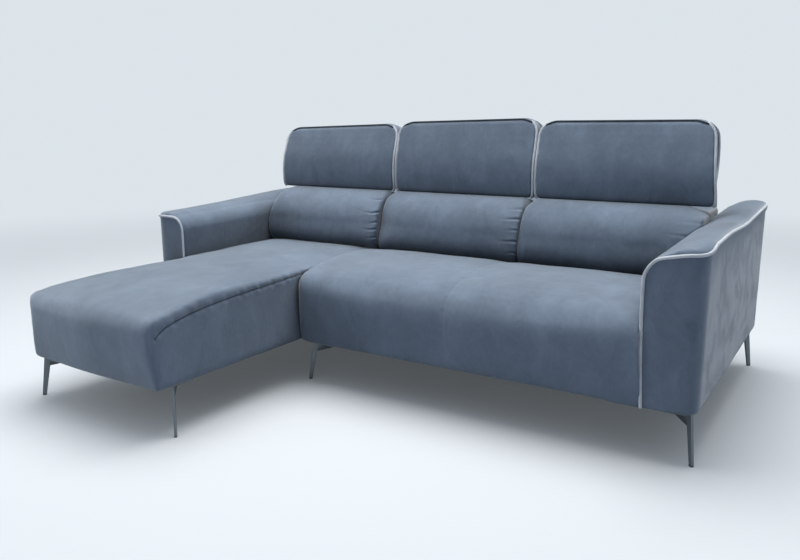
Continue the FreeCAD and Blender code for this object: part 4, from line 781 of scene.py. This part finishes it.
def headrest_edge(tree, low, high, rear, right):
    """Points round one end of a headrest on its front or rear edge, from the bottom over the top corner."""
    top_radius, foot_radius = HEADREST_TOP, HEADREST_FOOT
    sign = 1 if right else -1
    end = (high.x if right else low.x) - WELT_INSET * sign
    route = []
    for angle in np.linspace(-70, 0, 8):
        a = math.radians(angle)
        route.append((end - (foot_radius * (1 - math.cos(a))) * sign, low.z + foot_radius + foot_radius * math.sin(a)))
    for z in np.linspace(low.z + foot_radius, high.z - top_radius, 14)[1:-1]:
        route.append((end, z))
    for angle in np.linspace(0, 58, 9):
        a = math.radians(angle)
        route.append((end - top_radius * (1 - math.cos(a)) * sign, high.z - top_radius + top_radius * math.sin(a)
                      - WELT_INSET * math.sin(a)))
    made = []
    for x, z in route:
        place = hit(tree, (x, 1.2 if rear else 0.0, z), (0, -1 if rear else 1, 0))
        if place is not None:
            made.append(place)
    return made


# Height of the left and right end of each top edge over the CAD form, and how far the outer ends flare out
HEADREST_SET = {"left": (-0.019, -0.004, 0.014, 0.0), "middle": (0.002, 0.013, 0.0, 0.0),
                "right": (0.003, 0.003, 0.0, 0.026)}


def leaned(side):
    """The leaning front, thin top, flared end and sloping top edge that the photograph shows."""
    left_rise, right_rise, left_flare, right_flare = HEADREST_SET[side]
    low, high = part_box(f"headrest_{side}_cover")

    def change(p, n):
        up = np.clip((p[:, 2] - low.z) / (high.z - low.z), 0, 1)
        along = np.clip((p[:, 0] - low.x) / (high.x - low.x), 0, 1)
        back = np.clip((p[:, 1] - low.y) / 0.095, 0, 1)
        rise = np.clip(p[:, 2] - low.z, 0.003, HEADREST_FOOT)
        inset = HEADREST_FOOT - np.sqrt(HEADREST_FOOT ** 2 - (HEADREST_FOOT - rise) ** 2)
        half, centre = (high.x - low.x) / 2, (high.x + low.x) / 2
        p[:, 0] = centre + (p[:, 0] - centre) * half / (half - 0.7 * inset)
        p[:, 1] += (1 - back) * (0.050 * up - 0.030 + 0.020 * np.maximum(1 - up / 0.6, 0) ** 2)
        p[:, 1] -= back * (0.0035 + 0.015 * ramp(up, 0.6, 1.0))
        p[:, 2] += (left_rise + (right_rise - left_rise) * along) * ramp(up, 0.35, 0.95)
        p[:, 2] -= 0.006 * (1 - ramp(up, 0.0, 0.25)) * (1 - back)
        flare = (1 - up) * (1 - 0.95 * ramp(back, 0.15, 0.8))
        p[:, 0] += flare * (right_flare * along ** 2 - left_flare * (1 - along) ** 2)
        return p

    return change


for side in SIDES:
    low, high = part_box(f"headrest_{side}_cover")
    thing = headrests[side]

    def shape_headrest(p, n):
        face = ramp(np.abs(n[:, 1]), 0.4, 0.95)
        p += n * (face * (0.0014 * ripple(p, (7.0, 9.0, 12.0), 11.0) + 0.0005 * ripple(p, 28.0, 2.0)))[:, None]
        return p

    moved(thing, shape_headrest)
    tree = tree_of(thing)
    cords = []
    for right in (False, True):
        for rear in (False, True):
            path = headrest_edge(tree, low, high, rear, right)
            out = Vector((0.0066 if right else -0.0066, -0.003 if rear else 0.004, 0))
            cords.append(evened(dense_path([p + out for p in path]), 6))
    top_welts = []
    for rear in (False, True):
        first, second = (cords[1], cords[3]) if rear else (cords[0], cords[2])
        start, end = first[-4], second[-4]
        route = [start]
        for share in np.linspace(0, 1, 30):
            x = start.x + (end.x - start.x) * share
            edge = HEADREST_TOP + WELT_INSET
            across = max(0.0, (low.x + edge) - x, x - (high.x - edge))
            fall = HEADREST_TOP - math.sqrt(max(HEADREST_TOP ** 2 - min(across, HEADREST_TOP) ** 2, 0))
            z = high.z - WELT_INSET - fall
            place = hit(tree, (x, 1.2 if rear else 0.0, z - 0.002), (0, -1 if rear else 1, 0))
            if place is not None and 0.01 < share < 0.99:
                route.append(place + Vector((0, 0.0014 if rear else -0.0014, 0.0026)))
        route.append(end)
        top_welts.append(evened(dense_path(route), 6))
    for path in cords + top_welts:
        groove(thing, path, 0.0028, 0.0050)
    thing_name = f"headrest_{side}"
    pale = tube(thing_name + "_gusset_piping", cords[0], GUSSET_CORD)
    for number, path in enumerate(cords[1:]):
        more = tube(f"{thing_name}_cord_{number}", path, GUSSET_CORD)
        bm = bmesh.new()
        bm.from_mesh(pale.data)
        bm.from_mesh(more.data)
        bm.to_mesh(pale.data)
        bm.free()
        bpy.data.objects.remove(more)
    moved(pale, leaned(side))
    moved(thing, leaned(side))
    finish_piece(pale, thing_name, "piping", (thing_name + "_piping",))
    # The top welts are the dark velvet copy: painted shade over the top edges.
    for number, path in enumerate(top_welts):
        dark = tube(f"{thing_name}_welt_{number}", path, WELT)
        moved(dark, leaned(side))
        finish_piece(dark, thing_name, "seam")
    finish_piece(thing, thing_name, "velvet", (thing_name + "_cover", thing_name + "_foam"))


# Arms: the top edges stand as in the photograph; piping follows them
def arm_lift(side, points):
    """How far the top of an arm stands above or below the CAD form."""
    x, y = np.abs(points[:, 0]), points[:, 1]
    upper = ramp(points[:, 2], 0.40, 0.55)
    if side == "left":
        along = 0.018 * ramp(y, -0.10, 0.60) - 0.014
        return along * ramp(x, 0.90, 1.0) * upper
    wave = 0.017 * ramp(y, -0.205, -0.12) * (1 - ramp(y, 0.02, 0.40)) * ramp(x, 0.93, 1.02)
    base = 0.009 + 0.003 * ramp(y, 0.3, 0.8)
    return (base * ramp(x, 0.866, 0.905) + wave) * upper


ARM_FRONT, ARM_CORD = -0.213, 0.0048


def arm_route(side):
    """Middle line of an arm's piping on the CAD form: up the front, over it, round the corner, to the rear."""
    sign = 1 if side == "right" else -1
    front = [(882.0, 156.0), (877.7, 214.5), (874.2, 273.0), (871.5, 331.6), (869.6, 390.2), (868.4, 448.8),
             (868.0, 507.4), (869.6, 520.4), (874.4, 532.6), (882.0, 543.2), (891.9, 551.7), (903.7, 557.5),
             (925.0, 562.3), (950.0, 567.3)]
    points = [(x / 1000 * sign, ARM_FRONT, z / 1000) for x, z in front]
    turn = [(974.1, -213.0, 571.9), (993.5, -208.6, 573.0), (1011.5, -197.3, 573.3), (1022.6, -179.4, 573.7),
            (1027.0, -159.9, 574.4)]
    points += [(x / 1000 * sign, y / 1000, z / 1000) for x, y, z in turn]
    points += [(1.027 * sign, y, 0.5744 + (y + 0.16) * 0.02792) for y in np.linspace(-0.10, 0.80, 14)]
    points += [(1.0245 * sign, 0.828, 0.5955), (1.020 * sign, 0.842, 0.583)]
    return points


for side, thing in arms.items():
    def shape_arm(p, n, side=side):
        p[:, 2] += arm_lift(side, p)
        p += n * (0.0009 * ripple(p, 7.0, 3.0) + 0.0004 * ripple(p, 20.0, 6.0))[:, None]
        return p

    moved(thing, shape_arm)
    route = dense_path(arm_route(side))
    lifts = arm_lift(side, np.array([tuple(q) for q in route]))
    route = [q + Vector((0, 0, lift)) for q, lift in zip(route, lifts)]
    route = evened(route, 10)
    groove(thing, route, -0.001, 0.012, 0.75)
    moved(thing, drift)
    sign = 1 if side == "right" else -1
    rear = [(0.875, 0.18), (0.875, 0.36), (0.875, 0.50), (0.887, 0.562), (0.92, 0.583), (0.965, 0.592),
            (1.002, 0.597), (1.013, 0.575), (1.013, 0.40), (1.013, 0.18)]
    rear_seam(thing, side + "_arm_rear_seam", [(x * sign, BEHIND, z) for x, z in rear])
    cord = tube(side + "_arm_cord", route, ARM_CORD)
    moved(cord, drift)
    finish_piece(cord, "sofa", "piping", (side + "_arm_piping",))
    finish_piece(thing, "sofa", "velvet", ARM_NODES[side])

for side, thing in backs.items():
    low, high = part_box(side + "_back_cover")

    def shape_back(p, n):
        p += n * (0.0010 * ripple(p, 7.0, 13.0) + 0.0004 * ripple(p, 20.0, 16.0) - 0.0008)[:, None]
        return p

    moved(thing, shape_back)
    left, right, top = low.x + 0.012, high.x - 0.012, high.z - 0.013
    rear_seam(thing, side + "_back_rear_seam",
              [(x, BEHIND, z) for x, z in
               [(left, 0.18), (left, 0.38), (left, top - 0.02), (left + 0.02, top)]
               + [(left + (right - left) * share, top) for share in (0.25, 0.5, 0.75)]
               + [(right - 0.02, top), (right, top - 0.02), (right, 0.38), (right, 0.18)]])
    moved(thing, drift)
    finish_piece(thing, "sofa", "velvet", BACK_NODES[side])


# Undersides: stapled dust covers that sag a little between the rails
def dust_sheet(module):
    """The dust cover under a module, with a hem past the CAD cover, and its staples."""
    low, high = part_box(module + "_dust_cover")
    hem, sag, thick = 0.011, 0.0045, 0.0008
    x0, x1, y0, y1 = low.x - hem, high.x + hem, low.y - hem, high.y + hem
    bm = bmesh.new()
    bmesh.ops.create_grid(bm, x_segments=36, y_segments=48, size=0.5)
    for v in bm.verts:
        u, t = v.co.x + 0.5, v.co.y + 0.5
        dip = sag * min(1, 14 * u * (1 - u) * t * (1 - t)) * (0.8 + 0.5 * noise.noise(Vector((u * 5, t * 5, 3.3))))
        v.co = Vector((x0 + (x1 - x0) * u, y0 + (y1 - y0) * t, low.z - 0.0012 - dip))
    bmesh.ops.solidify(bm, geom=bm.faces[:], thickness=thick)
    cloth = object_of(bm, module + "_underside_cloth")
    finish_piece(cloth, "sofa", "dust_cloth", (module + "_dust_cover",))
    staples = staple_row(module + "_staples", x0 + 0.004, x1 - 0.004, y0 + 0.004, y1 - 0.004, low.z - 0.0022)


def staple_row(name, x0, x1, y0, y1, z):
    """Half-round staple crowns round the edge of a dust cover."""
    pitch, half, radius = 0.055, 0.0050, 0.0006
    bm = bmesh.new()
    for start, end in (((x0, y0), (x1, y0)), ((x1, y0), (x1, y1)), ((x1, y1), (x0, y1)), ((x0, y1), (x0, y0))):
        run = Vector(end) - Vector(start)
        count = round(run.length / pitch)
        for i in range(count):
            middle = Vector(start) + run * ((i + 0.5) / count)
            turn = Matrix.Rotation(math.atan2(run.y, run.x) + 0.12 * math.sin(i * 2.3), 4, "Z")
            pose = Matrix.Translation((*middle, z)) @ turn @ Matrix.Rotation(math.pi / 2, 4, "Y")
            made = bmesh.ops.create_cone(bm, cap_ends=True, segments=8, radius1=radius, radius2=radius,
                                         depth=half * 2, matrix=pose)
            for v in made["verts"]:
                v.co.z = z + (v.co.z - z) * 0.8
    return finish_piece(object_of(bm, name), "sofa", "zinc_steel")


for module in ("chaise", "bench"):
    dust_sheet(module)


# Legs: the long wing that runs from each leg inward under its top plate, as in the photograph
def leg_wings(module):
    """Flat tapering plates, one to a leg, in the vertical plane of its diagonal."""
    length, thick, under_plate, from_toe = 0.116, 0.0026, 0.150, 0.019
    profile = ((0.0, 0.0), (1.0, 0.0), (1.0, 0.004), (0.80, 0.032), (0.06, 0.047), (0.0, 0.056))
    bm = bmesh.new()
    for row, way in (("front", -1), ("rear", 1)):
        for side, out in (("left", -1), ("right", 1)):
            low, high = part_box(f"leg_{module}_{row}_{side}")
            corner = Vector(((high.x if out > 0 else low.x) - out * from_toe,
                             (high.y if way > 0 else low.y) - way * from_toe, under_plate))
            along = Vector((-out, -way, 0)).normalized()
            across = Vector((-along.y, along.x, 0))
            rims = [[bm.verts.new(corner + along * (share * length) + across * deep - Vector((0, 0, drop)))
                     for share, drop in profile] for deep in (-thick / 2, thick / 2)]
            bm.faces.new(rims[0])
            bm.faces.new(rims[1][::-1])
            for i in range(len(profile)):
                j = (i + 1) % len(profile)
                bm.faces.new((rims[0][i], rims[1][i], rims[1][j], rims[0][j]))
    bmesh.ops.recalc_face_normals(bm, faces=bm.faces)
    thing = object_of(bm, module + "_leg_wings")
    bevelled(thing, 0.0005)
    return finish_piece(thing, "sofa", "leg_metal")


for module in ("chaise", "bench"):
    leg_wings(module)


# Floor, world and lamps
FAR_COLOUR = (0.715, 0.778, 0.823)  # backdrop, where the floor fades out
FLOOR_RADIUS = 60


def make_stage():
    bm = bmesh.new()
    bmesh.ops.create_circle(bm, cap_ends=True, radius=FLOOR_RADIUS, segments=96)
    floor = object_of(bm, "floor")
    s = Shader("floor")
    rays = s.add("ShaderNodeLightPath")
    seen = s.maths("MAXIMUM", rays.outputs["Is Camera Ray"],
                   s.maths("MAXIMUM", rays.outputs["Is Glossy Ray"], rays.outputs["Is Transmission Ray"]))
    near = s.ramp(s.noise(0.8, 2.0), [(0.2, (0.66, 0.695, 0.735)), (0.8, (0.675, 0.71, 0.75))])
    s.link(s.mix(seen, (0.40, 0.43, 0.49), near), s.shader.inputs["Base Color"])
    s.set(Roughness=0.9, Specular_IOR_Level=0.1)
    away = s.add("ShaderNodeVectorMath", operation="LENGTH")
    s.link(s.place, away.inputs[0])
    fade = s.add("ShaderNodeMapRange", interpolation_type="SMOOTHSTEP")
    for key, value in (("From Min", 1.9), ("From Max", 6.5), ("To Min", 0.10)):
        fade.inputs[key].default_value = value
    s.link(away.outputs["Value"], fade.inputs["Value"])
    glow = s.add("ShaderNodeEmission")
    glow.inputs["Color"].default_value = (*FAR_COLOUR, 1)
    blend = s.add("ShaderNodeMixShader")
    s.link(s.maths("MULTIPLY", fade.outputs["Result"], seen), blend.inputs[0])
    s.link(s.shader.outputs[0], blend.inputs[1])
    s.link(glow.outputs[0], blend.inputs[2])
    s.link(blend.outputs[0], s.tree.nodes["Material Output"].inputs["Surface"])
    floor.data.materials.append(s.material)

    world = bpy.data.worlds.new("world")
    scene.world = world
    world.use_nodes = True
    tree = world.node_tree
    lit = tree.nodes["Background"]
    lit.inputs["Color"].default_value = (0.87, 0.94, 1.0, 1)

    def sky_maths(operation, *values):
        made = tree.nodes.new("ShaderNodeMath")
        made.operation = operation
        for socket, value in zip(made.inputs, values):
            if isinstance(value, (int, float)):
                socket.default_value = value
            else:
                tree.links.new(value, socket)
        return made.outputs[0]

    direction = tree.nodes.new("ShaderNodeSeparateXYZ")
    tree.links.new(tree.nodes.new("ShaderNodeTexCoord").outputs["Generated"], direction.inputs[0])
    up = sky_maths("MAXIMUM", direction.outputs["Z"], 0.0)
    dome = sky_maths("MULTIPLY_ADD", sky_maths("MULTIPLY", up, up), 0.85, 0.09)
    tree.links.new(sky_maths("MULTIPLY_ADD", direction.outputs["X"], -0.045, dome), lit.inputs["Strength"])
    sky = tree.nodes.new("ShaderNodeBackground")
    sky.inputs["Color"].default_value = (*FAR_COLOUR, 1)
    rays = tree.nodes.new("ShaderNodeLightPath")
    most = sky_maths("MAXIMUM", rays.outputs["Is Camera Ray"], rays.outputs["Is Glossy Ray"])
    choice = tree.nodes.new("ShaderNodeMixShader")
    tree.links.new(most, choice.inputs[0])
    tree.links.new(lit.outputs[0], choice.inputs[1])
    tree.links.new(sky.outputs[0], choice.inputs[2])
    tree.links.new(choice.outputs[0], tree.nodes["World Output"].inputs["Surface"])

    def lamp(name, place, aim, size, power, colour=(1, 1, 1)):
        data = bpy.data.lights.new(name, "AREA")
        data.shape = "RECTANGLE"
        data.size, data.size_y = size
        data.energy = power
        data.color = colour
        thing = bpy.data.objects.new(name, data)
        thing.location = place
        thing.rotation_euler = (Vector(aim) - Vector(place)).to_track_quat("-Z", "Y").to_euler()
        scene.collection.objects.link(thing)

    lamp("overhead", (-0.25, 0.45, 4.2), (-0.1, 0.1, 0), (3.8, 3.4), 212, (1.0, 0.975, 0.94))
    lamp("front_left", (-2.2, -2.5, 0.95), (-0.6, -0.7, 0.30), (1.6, 1.1), 10)
    lamp("right_low", (2.9, 1.2, 0.6), (1.03, 0.25, 0.2), (1.4, 0.9), 2.5, (0.70, 0.86, 1.0))


make_stage()
scene.view_settings.view_transform = "Standard"
